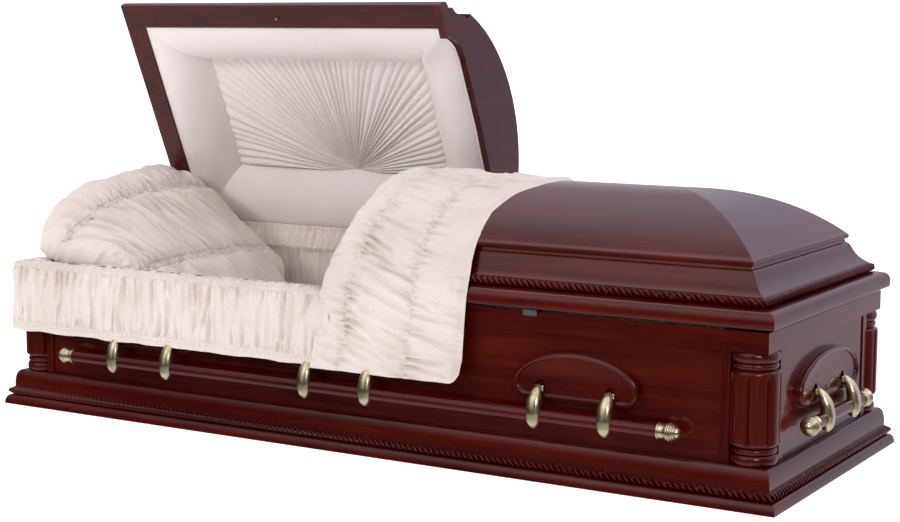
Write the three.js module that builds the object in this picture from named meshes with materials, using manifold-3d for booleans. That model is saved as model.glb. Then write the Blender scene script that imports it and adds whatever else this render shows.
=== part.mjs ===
// Half-couch hardwood funeral casket, in millimetres.
// +X runs to the foot end, -Y is the front, +Z is up.
// The origin is the centre of the underside.
// A moulding is drawn as points of inset and height: the inset is measured inwards from the outer edge of
// the plinth at the floor, so one drawing serves the front, the back and both ends.
import * as THREE from "three";
import { mergeVertices } from "three/addons/utils/BufferGeometryUtils.js";
import Module from "manifold-3d";

const wasm = await Module();
wasm.setup();

// Overall size and the clearance kept between touching pieces
const LENGTH = 2120;
const WIDTH = 780;
const CLEARANCE = 0.3;
const CUT_OVERRUN = 1;

// Box: panels, bottom board, corner posts and top rail
const PANEL_INSET = 42;
const PANEL_THICKNESS = 20;
const BOTTOM_BOARD_THICKNESS = 20;
const RAIL_INSET = 33.7;
const RAIL_HEIGHT = 44;
const RIM_HEIGHT = 367.7;
const STILE_INSET = 39;

// Plinth moulding, in order from the floor upwards
const LIP_FOOT = 4;
const LIP_HEIGHT = 22.7;
const LIP_DEPTH = 10.3;
const PLINTH_ROPE_SEAT = 19.7;
const PLINTH_ROPE_DEPTH = 8.7;
const PLINTH_ROPE_HEIGHT = 21.4;
const PLINTH_STEEP_HEIGHT = 54;
const PLINTH_TOP_INSET = 31;
const PLINTH_HEIGHT = 87.3;
const PLINTH_SHOULDER_DROP = 8;
const PLINTH_SHOULDER_LEAN = 1;

// Corner columns
const COLUMN_INSET = 80;
const COLUMN_RADIUS = 55;
const COLUMN_RING_RADIUS = 50.5;
const COLUMN_BEAD_RADIUS = 49;
const COLUMN_NECK_RADIUS = 45;
const COLUMN_RING_HEIGHT = 22;
const COLUMN_BEAD_HEIGHT = 15;
const COLUMN_SHOULDER = 9;
const COLUMN_RING_SHARE = 0.8;
const REED_COUNT = 8;
const REED_GROOVE_DEPTH = 4;
const REED_TURN_DEG = 8;
const COLUMN_SIDES = REED_COUNT * 3;
const POST_WALL = 3;

// Lids: split, rim moulding, rope and crown
const LID_LIFT = 7.8;
const SPLIT_X = -11.5;
const SPLIT_GAP = 3;
const HEADER_THICKNESS = 20;
const LID_EDGE_INSET = 18.2;
const LID_BULGE = 3.5;
const LID_ROUND_HEIGHT = 37.2;
const LID_ROUND_INSET = 42.8;
const LID_FRAME_WIDTH = 63.8;
const LID_ROPE_WIDTH = 14.5;
const LID_ROPE_HEIGHT = 21.6;
const LID_ROPE_DEPTH = 12.5;
const COVE_INSET = 100.2;
const COVE_HEIGHT = 108.8;
const COVE_HOLLOW = 4;
const COVE_WALL = 18;
const COVE_WALL_DROP = 4;
const FRAME_LEDGE_DROP = 6;
const CROWN_SEAT_LEDGE = 2;
const CROWN_DRIP = 5.4;
const CROWN_SEAT_HEIGHT = 115.2;
const CROWN_FOOT_HEIGHT = 128;
const CROWN_HEIGHT = 243.5;
const CROWN_FLAT = 16;
const CROWN_WALL = 15;
const CROWN_STEPS = 6;

// Arch cut in the header board
const ARCH_FOOT_INSET = 108.5;
const ARCH_FOOT_HEIGHT = 12;
const ARCH_SHOULDER_INSET = 190;
const ARCH_SHOULDER_HEIGHT = 61;
const ARCH_HEIGHT = 67.5;
const ARCH_COVE_RISE = 10;
const ARCH_COVE_INSET = 4;
const ARCH_LEAN = 22;

// Hinges
const HINGE_Y_INSET = 40;
const HINGE_DROP = 3.2;
const HEAD_LID_OPEN_DEG = 66.3;
const KNUCKLE_RADIUS = 4;
const KNUCKLE_CLEARANCE = 0.7;
const KNUCKLE_SIDES = 8;
const KNUCKLE_COUNT = 3;
const KNUCKLE_SPLIT = 1;
const LEAF_THICKNESS = 2;
const LEAF_WIDTH = 17;
const LEAF_END_MARGIN = 60;

// Handles
const BAR_RADIUS = 15;
const BAR_SIDES = 10;
const BAR_INSET = 8;
const BAR_HEIGHT = 146;
const PIVOT_INSET = 25;
const PIVOT_HEIGHT = 206;
const ARM_EYE_RADIUS = 7;
const ARM_WIDTH = 25;
const ARM_TIP_WIDTH = 15;
const ARM_WALL = 8;
const ARM_TAIL = 33;
const ARM_TAIL_RISE = 5;
const ARM_CHEEK = 24;
const ARM_WAIST_RISE = 10;
const ARM_SWELL = 30;
const ARM_SHOULDER = 3;
const ARM_NECK = 6;
const ARM_HALF_SPACING = 85;
const LONG_BAR_HEAD_MARGIN = 190;
const LONG_BAR_FOOT_MARGIN = 210;
const SHORT_BAR_LENGTH = 400;
const HEAD_STATION_MARGIN = 460;
const FOOT_STATION_MARGIN = 468;
const MIDDLE_STATION_X = -15;
const TIP_COLLAR_RADIUS = 17.5;
const TIP_FLANGE_RADIUS = 20.5;
const TIP_COLLAR_LENGTH = 26;
const TIP_LENGTH = 52;
const TIP_FLANGE_WIDTH = 8;
const TIP_FLANGE_SLOPE = 2;
const TIP_CAP_INSET = 3;
const TIP_CAP_LENGTH = 5;
const TIP_SIDES = 10;

// Plaques behind the handles
const PLAQUE_HALF_WIDTH = 150;
const END_PLAQUE_HALF_WIDTH = 185;
const PLAQUE_BOTTOM = 180;
const PLAQUE_WIDEST = 212;
const PLAQUE_TOP = 286;
const PLAQUE_CORNER = 30;
const PLAQUE_THICKNESS = 13;
const PLAQUE_BORDER_WIDTH = 18;
const PLAQUE_BORDER_RISE = 6;
const PLAQUE_BORDER_SHARE = 0.35;
const PLAQUE_EDGE = 2;
const SOCKET_FLOOR = 2;
const SOCKET_SIDE_CLEARANCE = 0.8;
const SOCKET_HALF_HEIGHT = 16.5;

// Lock
const KEEPER_END_MARGIN = 580;
const KEEPER_LENGTH = 34;
const KEEPER_WALL = 3;
const KEEPER_DROP = 10;
const STUD_END_MARGIN = 541;
const STUD_INSET = 54;
const STUD_RADIUS = 4;
const STUD_LENGTH = 6;
const STUD_TAPER = 0.8;
const STUD_SIDES = 10;

// Soft goods
const LINING_THICKNESS = 21;
const LINING_DROP = 1.7;
const MATTRESS_DROP = 177.7;
const PILLOW_WIDTH = 590;
const PILLOW_LENGTH = 500;
const PILLOW_THICKNESS = 170;
const PILLOW_SLOPE_DEG = 33;
const PILLOW_HEAD_MARGIN = 315;
const PILLOW_RISE = 188;
const PILLOW_SQUARENESS = 0.42;
const SKIRT_THICKNESS = 4;
const SKIRT_TOP_INSET = 20;
const SKIRT_EDGE = 3;
const SKIRT_HEM_INSET = 7;
const SKIRT_HEM_HEIGHT = 196;
const SKIRT_FOOT_X = -66;
const SKIRT_BACK_MARGIN = 90;
const THROW_FOOT_X = 320;
const THROW_HEAD_X = -50;
const THROW_THICKNESS = 4;
const THROW_STANDOFF = 2;
const THROW_BRIDGE_REACH = 3;
const THROW_BRIDGE_RISE = 8;
const THROW_HEM_HEIGHT = 191;
const THROW_HEM_INSET = 1.2;
const THROW_BACK_Y = 190;
const FAN_HEIGHT = 89;
const FAN_THICKNESS = 16;
const ROLL_WIDTH = 130;
const BACK_ROLL_WIDTH = 160;
const ROLL_BULGE = 0.78;
const ROLL_FOOT = 3;
const ROLL_BELLY = 5;
const ROLL_BACK_SHARE = 0.34;
const ROLL_BACK_DROP = 7;
const FOOT_LINING_HEIGHT = 64;
const FOOT_LINING_THICKNESS = 14;
const FOOT_LINING_MARGIN = 6;

// Sizes worked out from the ones above
const HALF_LENGTH = LENGTH / 2;
const HALF_WIDTH = WIDTH / 2;
const WALL_FOOT = BOTTOM_BOARD_THICKNESS + CLEARANCE;
const WALL_TOP = RIM_HEIGHT - RAIL_HEIGHT - CLEARANCE;
const PANEL_BACK_INSET = PANEL_INSET + PANEL_THICKNESS;
const COLUMN_HOLLOW_RADIUS = (COLUMN_RADIUS + CLEARANCE) / Math.cos(Math.PI / COLUMN_SIDES);
const POST_BACK_INSET = COLUMN_INSET + COLUMN_HOLLOW_RADIUS + POST_WALL;
const LID_BASE = RIM_HEIGHT + LID_LIFT;
const FRAME_INSET = LID_EDGE_INSET + LID_FRAME_WIDTH;
const HINGE_Y = HALF_WIDTH - HINGE_Y_INSET;
const HINGE_Z = RIM_HEIGHT - HINGE_DROP;
const LINING_TOP = RIM_HEIGHT - LINING_DROP;
const MATTRESS_TOP = RIM_HEIGHT - MATTRESS_DROP;
const PILLOW_X = PILLOW_HEAD_MARGIN - HALF_LENGTH;
const PILLOW_Z = MATTRESS_TOP + PILLOW_RISE;
const FAN_HEAD_X = FRAME_INSET + ROLL_WIDTH - HALF_LENGTH;
const FAN_FOOT_X = SPLIT_X - SPLIT_GAP / 2 - HEADER_THICKNESS - ROLL_WIDTH;
const FAN_FRONT_Y = FRAME_INSET + ROLL_WIDTH - HALF_WIDTH;
const FAN_BACK_Y = HALF_WIDTH - FRAME_INSET - BACK_ROLL_WIDTH;
const LONG_BAR_LENGTH = LENGTH - LONG_BAR_HEAD_MARGIN - LONG_BAR_FOOT_MARGIN;
const LONG_BAR_CENTRE = (LONG_BAR_HEAD_MARGIN - LONG_BAR_FOOT_MARGIN) / 2;
const LONG_BAR_STATIONS = [
  HEAD_STATION_MARGIN - HALF_LENGTH,
  MIDDLE_STATION_X,
  HALF_LENGTH - FOOT_STATION_MARGIN,
];
const KEEPER_X = HALF_LENGTH - KEEPER_END_MARGIN;
const STUD_X = STUD_END_MARGIN - HALF_LENGTH;

// Geometry helpers

function material(colour, roughness, metalness = 0) {
  return new THREE.MeshStandardMaterial({ color: colour, roughness, metalness });
}

const MAHOGANY = material(0x5a1512, 0.22);
const STEEL = material(0x8a8a8c, 0.4, 0.9);
const CREPE = material(0xe8dccb, 0.9);
const SUEDE = material(0xddd3c4, 0.95);

function bare(geometry) {
  const copy = geometry.index ? geometry.toNonIndexed() : geometry.clone();
  return new THREE.BufferGeometry().setAttribute("position", copy.getAttribute("position"));
}

function solid(geometry) {
  const merged = mergeVertices(bare(geometry), 1e-4);
  return new wasm.Manifold(
    new wasm.Mesh({
      numProp: 3,
      vertProperties: merged.attributes.position.array,
      triVerts: new Uint32Array(merged.index.array),
    }),
  );
}

function surface(manifold) {
  const mesh = manifold.getMesh();
  return new THREE.BufferGeometry()
    .setAttribute("position", new THREE.BufferAttribute(mesh.vertProperties, 3))
    .setIndex(new THREE.BufferAttribute(mesh.triVerts, 1));
}

function join(...geometries) {
  return surface(geometries.map(solid).reduce((whole, piece) => whole.add(piece)));
}

function cut(geometry, ...tools) {
  return surface(tools.map(solid).reduce((whole, tool) => whole.subtract(tool), solid(geometry)));
}

function block([x0, x1], [y0, y1], [z0, z1]) {
  const box = new THREE.BoxGeometry(Math.abs(x1 - x0), Math.abs(y1 - y0), z1 - z0);
  return box.translate((x0 + x1) / 2, (y0 + y1) / 2, (z0 + z1) / 2);
}

// A closed surface from rings of equal point count, with a flat cap on the first and last ring.
function loft(rings, closed = false) {
  const count = rings[0].length;
  const faces = [];
  const spans = closed ? rings.length : rings.length - 1;
  for (let r = 0; r < spans; r += 1) {
    const here = r * count;
    const next = ((r + 1) % rings.length) * count;
    for (let i = 0; i < count; i += 1) {
      const j = (i + 1) % count;
      faces.push(here + i, here + j, next + j, here + i, next + j, next + i);
    }
  }
  if (!closed) {
    for (const [ring, flip] of [[0, true], [rings.length - 1, false]]) {
      for (const [a, b, c] of capTriangles(rings[ring])) {
        const start = ring * count;
        faces.push(start + a, start + (flip ? c : b), start + (flip ? b : c));
      }
    }
  }
  const geometry = new THREE.BufferGeometry();
  geometry.setAttribute("position", new THREE.Float32BufferAttribute(rings.flat(2), 3));
  geometry.setIndex(faces);
  return outward(geometry);
}

function capTriangles(ring) {
  const points = ring.map((p) => new THREE.Vector3(...p));
  const normal = new THREE.Vector3();
  points.forEach((p, i) => normal.add(p.clone().cross(points[(i + 1) % points.length])));
  const across = new THREE.Vector3().subVectors(points[1], points[0]).normalize();
  const up = normal.normalize().clone().cross(across);
  const flat = points.map((p) => new THREE.Vector2(p.dot(across), p.dot(up)));
  return THREE.ShapeUtils.triangulateShape(flat, []);
}

function outward(geometry) {
  const position = geometry.attributes.position;
  const index = geometry.index.array;
  const corner = (k) => new THREE.Vector3().fromBufferAttribute(position, index[k]);
  let volume = 0;
  for (let k = 0; k < index.length; k += 3) {
    volume += corner(k).dot(corner(k + 1).cross(corner(k + 2)));
  }
  if (volume > 0) return geometry;
  const turned = Array.from(index);
  for (let k = 0; k < turned.length; k += 3) {
    [turned[k + 1], turned[k + 2]] = [turned[k + 2], turned[k + 1]];
  }
  geometry.setIndex(turned);
  return geometry;
}

// Places in plan of a point with a given inset: at a corner of the box, or on a square cut across it
function cornerAt(endSide, longSide, mitreGap = 0) {
  return (inset) => [endSide * (HALF_LENGTH - inset - mitreGap), longSide * (HALF_WIDTH - inset)];
}

function squareCutAt(x, longSide) {
  return (inset) => [x, longSide * (HALF_WIDTH - inset)];
}

// Runs a drawing of inset and height along stations in plan, with mitred corners.
function moulding(drawing, stations, closed = false) {
  const rings = stations.map((place) => drawing.map(([inset, z]) => [...place(inset), z]));
  return loft(rings, closed);
}

function curvePoints(curve, steps) {
  return curve.getPoints(steps).map((p) => [p.x, p.y]);
}

function bend(from, control, to, steps) {
  const ends = [from, control, to].map(([x, y]) => new THREE.Vector2(x, y));
  return curvePoints(new THREE.QuadraticBezierCurve(...ends), steps);
}

// A rope moulding in section: a half round that stands out of its seat.
function ropeDrawing(seatInset, depth, foot, height) {
  const middle = foot + height / 2;
  const bulge = new THREE.EllipseCurve(
    seatInset - CLEARANCE, middle, depth, height / 2 - CLEARANCE, Math.PI / 2, Math.PI * 1.5);
  return curvePoints(bulge, 5);
}

const MITRE_GAP = CLEARANCE * Math.SQRT2;

function longRun(drawing, side) {
  return moulding(drawing, [cornerAt(-1, side, MITRE_GAP), cornerAt(1, side, MITRE_GAP)]);
}

function endRun(drawing, side) {
  return moulding(drawing, [cornerAt(side, -1), cornerAt(side, 1)]);
}

// Box

function plinthDrawing() {
  const back = PANEL_INSET - CLEARANCE;
  const seatTop = LIP_HEIGHT + PLINTH_ROPE_HEIGHT;
  return [
    [0, 0],
    ...bend([0, LIP_FOOT], [LIP_DEPTH * 0.15, LIP_HEIGHT * 0.75], [LIP_DEPTH, LIP_HEIGHT], 3),
    [PLINTH_ROPE_SEAT, LIP_HEIGHT],
    [PLINTH_ROPE_SEAT, seatTop],
    ...bend([PLINTH_ROPE_SEAT, PLINTH_STEEP_HEIGHT],
      [PLINTH_ROPE_SEAT + PLINTH_SHOULDER_LEAN, PLINTH_HEIGHT - PLINTH_SHOULDER_DROP],
      [PLINTH_TOP_INSET, PLINTH_HEIGHT], 4),
    [back, PLINTH_HEIGHT],
    [back, 0],
  ];
}

function plinthPieces() {
  const drawing = plinthDrawing();
  const rope = ropeDrawing(PLINTH_ROPE_SEAT, PLINTH_ROPE_DEPTH, LIP_HEIGHT, PLINTH_ROPE_HEIGHT);
  const round = [cornerAt(-1, -1), cornerAt(1, -1), cornerAt(1, 1), cornerAt(-1, 1)];
  return {
    plinth_front: longRun(drawing, -1),
    plinth_back: longRun(drawing, 1),
    plinth_head: endRun(drawing, -1),
    plinth_foot: endRun(drawing, 1),
    plinth_rope: moulding(rope, round, true),
  };
}

function railDrawing() {
  const foot = RIM_HEIGHT - RAIL_HEIGHT;
  return [
    [RAIL_INSET, foot],
    [RAIL_INSET, RIM_HEIGHT],
    [PANEL_BACK_INSET, RIM_HEIGHT],
    [PANEL_BACK_INSET, foot],
  ];
}

// The back rail has a rebate along its top outer edge, which takes the hinge knuckles.
function backRailDrawing() {
  const foot = RIM_HEIGHT - RAIL_HEIGHT;
  const reach = KNUCKLE_RADIUS + KNUCKLE_CLEARANCE;
  return [
    [RAIL_INSET, foot],
    [RAIL_INSET, HINGE_Z - reach],
    [HINGE_Y_INSET + reach, HINGE_Z - reach],
    [HINGE_Y_INSET + reach, RIM_HEIGHT],
    [PANEL_BACK_INSET, RIM_HEIGHT],
    [PANEL_BACK_INSET, foot],
  ];
}

function boxPieces() {
  const panelX = HALF_LENGTH - POST_BACK_INSET - CLEARANCE;
  const panelY = HALF_WIDTH - POST_BACK_INSET - CLEARANCE;
  const wall = [WALL_FOOT, WALL_TOP];
  const faceY = HALF_WIDTH - PANEL_INSET;
  const faceX = HALF_LENGTH - PANEL_INSET;
  const pieces = {
    bottom_board: block([-faceX, faceX], [-faceY, faceY], [0, BOTTOM_BOARD_THICKNESS]),
    rail_front: longRun(railDrawing(), -1),
    rail_back: longRun(backRailDrawing(), 1),
    rail_head: endRun(railDrawing(), -1),
    rail_foot: endRun(railDrawing(), 1),
  };
  for (const [name, side] of [["front", -1], ["back", 1]]) {
    const back = side * (faceY - PANEL_THICKNESS);
    pieces[`panel_${name}`] = block([-panelX, panelX], [side * faceY, back], wall);
  }
  for (const [name, side] of [["head", -1], ["foot", 1]]) {
    const back = side * (faceX - PANEL_THICKNESS);
    pieces[`panel_${name}`] = block([side * faceX, back], [-panelY, panelY], wall);
  }
  return pieces;
}

function cornerPost(endSide, longSide) {
  const axisX = endSide * (HALF_LENGTH - COLUMN_INSET);
  const axisY = longSide * (HALF_WIDTH - COLUMN_INSET);
  const span = (half, side, inset) => [side * (half - inset), side * (half - POST_BACK_INSET)];
  const foot = block(
    span(HALF_LENGTH, endSide, PANEL_INSET),
    span(HALF_WIDTH, longSide, PANEL_INSET),
    [WALL_FOOT, PLINTH_HEIGHT]);
  const stile = block(
    span(HALF_LENGTH, endSide, STILE_INSET),
    span(HALF_WIDTH, longSide, STILE_INSET),
    [PLINTH_HEIGHT + CLEARANCE, WALL_TOP]);
  const tie = block(
    span(HALF_LENGTH, endSide, PANEL_INSET + PANEL_THICKNESS),
    span(HALF_WIDTH, longSide, PANEL_INSET + PANEL_THICKNESS),
    [WALL_FOOT, WALL_TOP]);
  const hollow = new THREE.CylinderGeometry(
    COLUMN_HOLLOW_RADIUS, COLUMN_HOLLOW_RADIUS, WALL_TOP, COLUMN_SIDES);
  hollow.rotateX(Math.PI / 2);
  hollow.translate(axisX, axisY, PLINTH_HEIGHT + WALL_TOP / 2);
  const reach = [axisX, endSide * HALF_LENGTH];
  const corner = block(reach, [axisY, longSide * HALF_WIDTH], [PLINTH_HEIGHT, RIM_HEIGHT]);
  return cut(join(foot, stile, tie), hollow, corner);
}

// A turned column: rings and a bead at both ends and a shaft of broad reeds between them.
function columnDrawing() {
  const foot = PLINTH_HEIGHT + CLEARANCE;
  const top = WALL_TOP;
  const ringEnd = COLUMN_RING_HEIGHT;
  const beadEnd = ringEnd + COLUMN_BEAD_HEIGHT;
  const half = [
    [0, 0],
    [COLUMN_RING_RADIUS, 0],
    [COLUMN_RING_RADIUS, ringEnd * COLUMN_RING_SHARE],
    [COLUMN_NECK_RADIUS, ringEnd],
    [COLUMN_BEAD_RADIUS, ringEnd + COLUMN_BEAD_HEIGHT / 2],
    [COLUMN_NECK_RADIUS, beadEnd],
    [COLUMN_RADIUS, beadEnd + COLUMN_SHOULDER],
  ];
  const lower = half.map(([r, z]) => new THREE.Vector2(r, foot + z));
  const upper = half.map(([r, z]) => new THREE.Vector2(r, top - z)).reverse();
  return [...lower, ...upper];
}

function column(endSide, longSide) {
  const drawing = columnDrawing();
  const turning = new THREE.LatheGeometry(drawing, COLUMN_SIDES);
  const position = turning.attributes.position;
  for (let i = 0; i < position.count; i += 1) {
    const step = Math.floor(i / drawing.length);
    const radius = Math.hypot(position.getX(i), position.getZ(i));
    if (step % 3 === 0 && radius > COLUMN_RADIUS - CLEARANCE) {
      const share = (radius - REED_GROOVE_DEPTH) / radius;
      position.setX(i, position.getX(i) * share);
      position.setZ(i, position.getZ(i) * share);
    }
  }
  turning.rotateX(Math.PI / 2);
  turning.rotateZ(THREE.MathUtils.degToRad(endSide * longSide * -REED_TURN_DEG));
  return turning.translate(
    endSide * (HALF_LENGTH - COLUMN_INSET), longSide * (HALF_WIDTH - COLUMN_INSET), 0);
}

function cornerPieces() {
  const pieces = {};
  for (const [end, endSide] of [["head", -1], ["foot", 1]]) {
    for (const [side, longSide] of [["front", -1], ["back", 1]]) {
      pieces[`corner_post_${side}_${end}`] = cornerPost(endSide, longSide);
      pieces[`column_${side}_${end}`] = column(endSide, longSide);
    }
  }
  return pieces;
}

// Lids, drawn closed; heights in these drawings are measured up from the underside of the lid

function crownArc(wall, steps) {
  const rise = CROWN_HEIGHT - CROWN_FOOT_HEIGHT;
  const halfSpan = HALF_WIDTH - COVE_INSET + CROWN_DRIP / 2;
  const radius = (halfSpan ** 2 + rise ** 2) / (2 * rise);
  const centre = CROWN_HEIGHT - radius;
  const outerFoot = Math.asin(Math.min(1, halfSpan / radius));
  const inner = radius - wall;
  const foot = Math.asin(Math.min(1, (halfSpan - wall * 1.4) / inner));
  const start = wall > 0 ? foot : outerFoot;
  const stop = Math.asin(CROWN_FLAT / inner);
  return Array.from({ length: steps + 1 }, (_, k) => {
    const angle = start + ((stop - start) * k) / steps;
    return [HALF_WIDTH - inner * Math.sin(angle), LID_BASE + centre + inner * Math.cos(angle)];
  });
}

function lidRoundover() {
  return bend([LID_EDGE_INSET, LID_BASE],
    [LID_EDGE_INSET - LID_BULGE, LID_BASE + LID_ROUND_HEIGHT * 0.75],
    [LID_ROUND_INSET, LID_BASE + LID_ROUND_HEIGHT], 5);
}

function lidCove() {
  const seat = LID_ROUND_INSET + LID_ROPE_WIDTH;
  const ropeTop = LID_BASE + LID_ROUND_HEIGHT + LID_ROPE_HEIGHT;
  const coveTop = LID_BASE + COVE_HEIGHT;
  const middle = [(seat + COVE_INSET) / 2 + COVE_HOLLOW, (ropeTop + coveTop) / 2 - COVE_HOLLOW];
  return bend([seat, ropeTop], middle, [COVE_INSET, coveTop], 4);
}

function lidRimDrawing() {
  const seatTop = LID_BASE + CROWN_SEAT_HEIGHT - CLEARANCE;
  const back = COVE_INSET + COVE_WALL;
  const ropeTop = LID_BASE + LID_ROUND_HEIGHT + LID_ROPE_HEIGHT;
  return [
    ...lidRoundover(),
    [LID_ROUND_INSET + LID_ROPE_WIDTH, LID_BASE + LID_ROUND_HEIGHT],
    ...lidCove(),
    [COVE_INSET + CROWN_SEAT_LEDGE, seatTop],
    [back, seatTop],
    [back, LID_BASE + COVE_HEIGHT - COVE_WALL_DROP],
    [FRAME_INSET, ropeTop - FRAME_LEDGE_DROP],
    [FRAME_INSET, LID_BASE],
  ];
}

function lidRopeDrawing() {
  const foot = LID_BASE + LID_ROUND_HEIGHT + CLEARANCE;
  const seat = LID_ROUND_INSET + LID_ROPE_WIDTH - CLEARANCE;
  const front = seat - LID_ROPE_DEPTH;
  const top = foot + LID_ROPE_HEIGHT;
  return [
    [seat, foot],
    [front, foot],
    [front, foot + LID_ROPE_HEIGHT * 0.35],
    [front + LID_ROPE_DEPTH * 0.3, foot + LID_ROPE_HEIGHT * 0.75],
    [seat, top],
  ];
}

function crownOuter() {
  const seat = LID_BASE + CROWN_SEAT_HEIGHT;
  const edge = COVE_INSET - CROWN_DRIP;
  return [
    [COVE_INSET, seat],
    [edge, seat + 4],
    [edge, seat + 10],
    ...crownArc(0, CROWN_STEPS),
  ];
}

// Rectangles in plan, one for each level of the drawing, between the split and the mitred end
function lidLevels(drawing, endSide, splitX) {
  return drawing.map(([inset, z]) => {
    const end = endSide * (HALF_LENGTH - inset);
    const y = HALF_WIDTH - inset;
    return [[end, -y, z], [splitX, -y, z], [splitX, y, z], [end, y, z]];
  });
}

function crownShell(endSide, splitX) {
  const seat = LID_BASE + CROWN_SEAT_HEIGHT;
  const outer = loft(lidLevels(crownOuter(), endSide, splitX));
  const back = COVE_INSET + COVE_WALL;
  const inside = [[back, seat - CROWN_WALL], [back, seat + 6], ...crownArc(CROWN_WALL, CROWN_STEPS)];
  const hollow = loft(lidLevels(inside, endSide, splitX - endSide * CROWN_WALL));
  return cut(outer, hollow);
}

// The header board closes the lid at the split. It follows the mouldings outside and has an arch inside.
function headerBoard(x0) {
  const ropeFront = lidRopeDrawing().slice(1);
  const outline = [...lidRoundover(), ...ropeFront, ...lidCove().slice(1), ...crownOuter()];
  const arch = [
    [ARCH_FOOT_INSET, LID_BASE],
    [ARCH_FOOT_INSET, LID_BASE + ARCH_FOOT_HEIGHT],
    ...bend([ARCH_FOOT_INSET + ARCH_COVE_INSET, LID_BASE + ARCH_FOOT_HEIGHT + ARCH_COVE_RISE],
      [ARCH_FOOT_INSET + ARCH_LEAN, LID_BASE + ARCH_SHOULDER_HEIGHT - ARCH_COVE_INSET],
      [ARCH_SHOULDER_INSET, LID_BASE + ARCH_SHOULDER_HEIGHT], 4),
    [HALF_WIDTH, LID_BASE + ARCH_HEIGHT],
  ];
  const front = (points) => points.map(([inset, z]) => [inset - HALF_WIDTH, z]);
  const rear = (points) => points.map(([inset, z]) => [HALF_WIDTH - inset, z]);
  const loop = [
    ...front(outline),
    ...rear(outline).reverse(),
    ...rear(arch),
    ...front(arch.slice(0, -1)).reverse(),
  ];
  const shape = new THREE.Shape(loop.map(([y, z]) => new THREE.Vector2(y, z)));
  const board = new THREE.ExtrudeGeometry(shape, { depth: HEADER_THICKNESS, bevelEnabled: false });
  board.rotateX(Math.PI / 2);
  board.rotateZ(Math.PI / 2);
  return board.translate(x0, 0, 0);
}

function lidPieces(name, endSide) {
  const face = endSide < 0 ? SPLIT_X - SPLIT_GAP / 2 : SPLIT_X + SPLIT_GAP / 2;
  const boardBack = face + endSide * HEADER_THICKNESS;
  const splitX = boardBack + endSide * CLEARANCE;
  const round = [
    squareCutAt(splitX, -1),
    cornerAt(endSide, -1),
    cornerAt(endSide, 1),
    squareCutAt(splitX, 1),
  ];
  return {
    [`${name}_rim`]: moulding(lidRimDrawing(), round),
    [`${name}_rope`]: moulding(lidRopeDrawing(), round),
    [`${name}_crown`]: crownShell(endSide, splitX),
    [`${name}_header_board`]: headerBoard(Math.min(face, boardBack)),
  };
}

// Handles

// Side view of a cast arm as points of inset and height. It hangs from its eye and wraps round the bar.
function armDrawing() {
  const frontInset = BAR_INSET - BAR_RADIUS - ARM_WALL;
  const tail = BAR_HEIGHT - ARM_TAIL;
  const eye = curvePoints(new THREE.EllipseCurve(
    PIVOT_INSET, PIVOT_HEIGHT, ARM_EYE_RADIUS, ARM_EYE_RADIUS, -Math.PI * 0.3, Math.PI), 4);
  const outer = bend(
    [PIVOT_INSET - ARM_EYE_RADIUS - ARM_SHOULDER, PIVOT_HEIGHT - ARM_WALL],
    [frontInset - ARM_SHOULDER + 1, BAR_HEIGHT + ARM_SWELL],
    [frontInset, BAR_HEIGHT - ARM_WALL / 2], 3);
  return [
    ...eye, ...outer,
    [frontInset + ARM_TAIL_RISE, BAR_HEIGHT - ARM_CHEEK],
    [BAR_INSET - ARM_SHOULDER, tail],
    [BAR_INSET + ARM_SHOULDER, tail + ARM_TAIL_RISE],
    [BAR_INSET, BAR_HEIGHT - ARM_CHEEK / 2],
    [BAR_INSET + ARM_NECK, BAR_HEIGHT + ARM_WAIST_RISE],
    [PIVOT_INSET - ARM_NECK, PLAQUE_BOTTOM],
    [PIVOT_INSET - ARM_NECK + ARM_SHOULDER - 1, PLAQUE_BOTTOM + ARM_WAIST_RISE],
  ];
}

function arm(along) {
  const shape = new THREE.Shape(armDrawing().map(([inset, z]) => new THREE.Vector2(inset, z)));
  const geometry = new THREE.ExtrudeGeometry(shape, { depth: 1, bevelEnabled: false });
  const position = geometry.attributes.position;
  const waist = BAR_HEIGHT + ARM_WAIST_RISE;
  for (let i = 0; i < position.count; i += 1) {
    const z = position.getY(i);
    const reach = z > waist ? PLAQUE_BOTTOM - BAR_HEIGHT : ARM_WAIST_RISE + ARM_TAIL;
    const share = Math.min(1, Math.abs(z - waist) / reach) ** 2;
    const width = ARM_WIDTH - (ARM_WIDTH - ARM_TIP_WIDTH) * share;
    position.setZ(i, along + (position.getZ(i) - 0.5) * width);
  }
  return geometry;
}

function tip(end, side) {
  const dome = TIP_COLLAR_LENGTH + TIP_FLANGE_WIDTH;
  const drawing = [
    [0, 0], [TIP_COLLAR_RADIUS, 0], [TIP_COLLAR_RADIUS, TIP_COLLAR_LENGTH],
    [TIP_FLANGE_RADIUS, TIP_COLLAR_LENGTH + TIP_FLANGE_SLOPE], [TIP_FLANGE_RADIUS, dome],
    [TIP_COLLAR_RADIUS - TIP_CAP_INSET, TIP_LENGTH - TIP_CAP_LENGTH], [0, TIP_LENGTH],
  ];
  const lathe = new THREE.LatheGeometry(drawing.map(([r, z]) => new THREE.Vector2(r, z)), TIP_SIDES);
  lathe.rotateX(side * Math.PI / 2);
  return lathe.translate(BAR_INSET, BAR_HEIGHT, end - side * TIP_LENGTH);
}

// A swing bar in its own drawing: inset, height and distance along the bar
function swingBar(centre, length, armPlaces) {
  const bar = new THREE.CylinderGeometry(BAR_RADIUS, BAR_RADIUS, length - 2 * TIP_LENGTH + 4, BAR_SIDES);
  bar.rotateX(Math.PI / 2);
  bar.translate(BAR_INSET, BAR_HEIGHT, centre);
  const ends = [-1, 1].map((side) => tip(centre + side * length / 2, side));
  return join(bar, ...ends, ...armPlaces.map(arm));
}

function armPlaces(stations) {
  return stations.flatMap((centre) => [centre - ARM_HALF_SPACING, centre + ARM_HALF_SPACING]);
}

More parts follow.
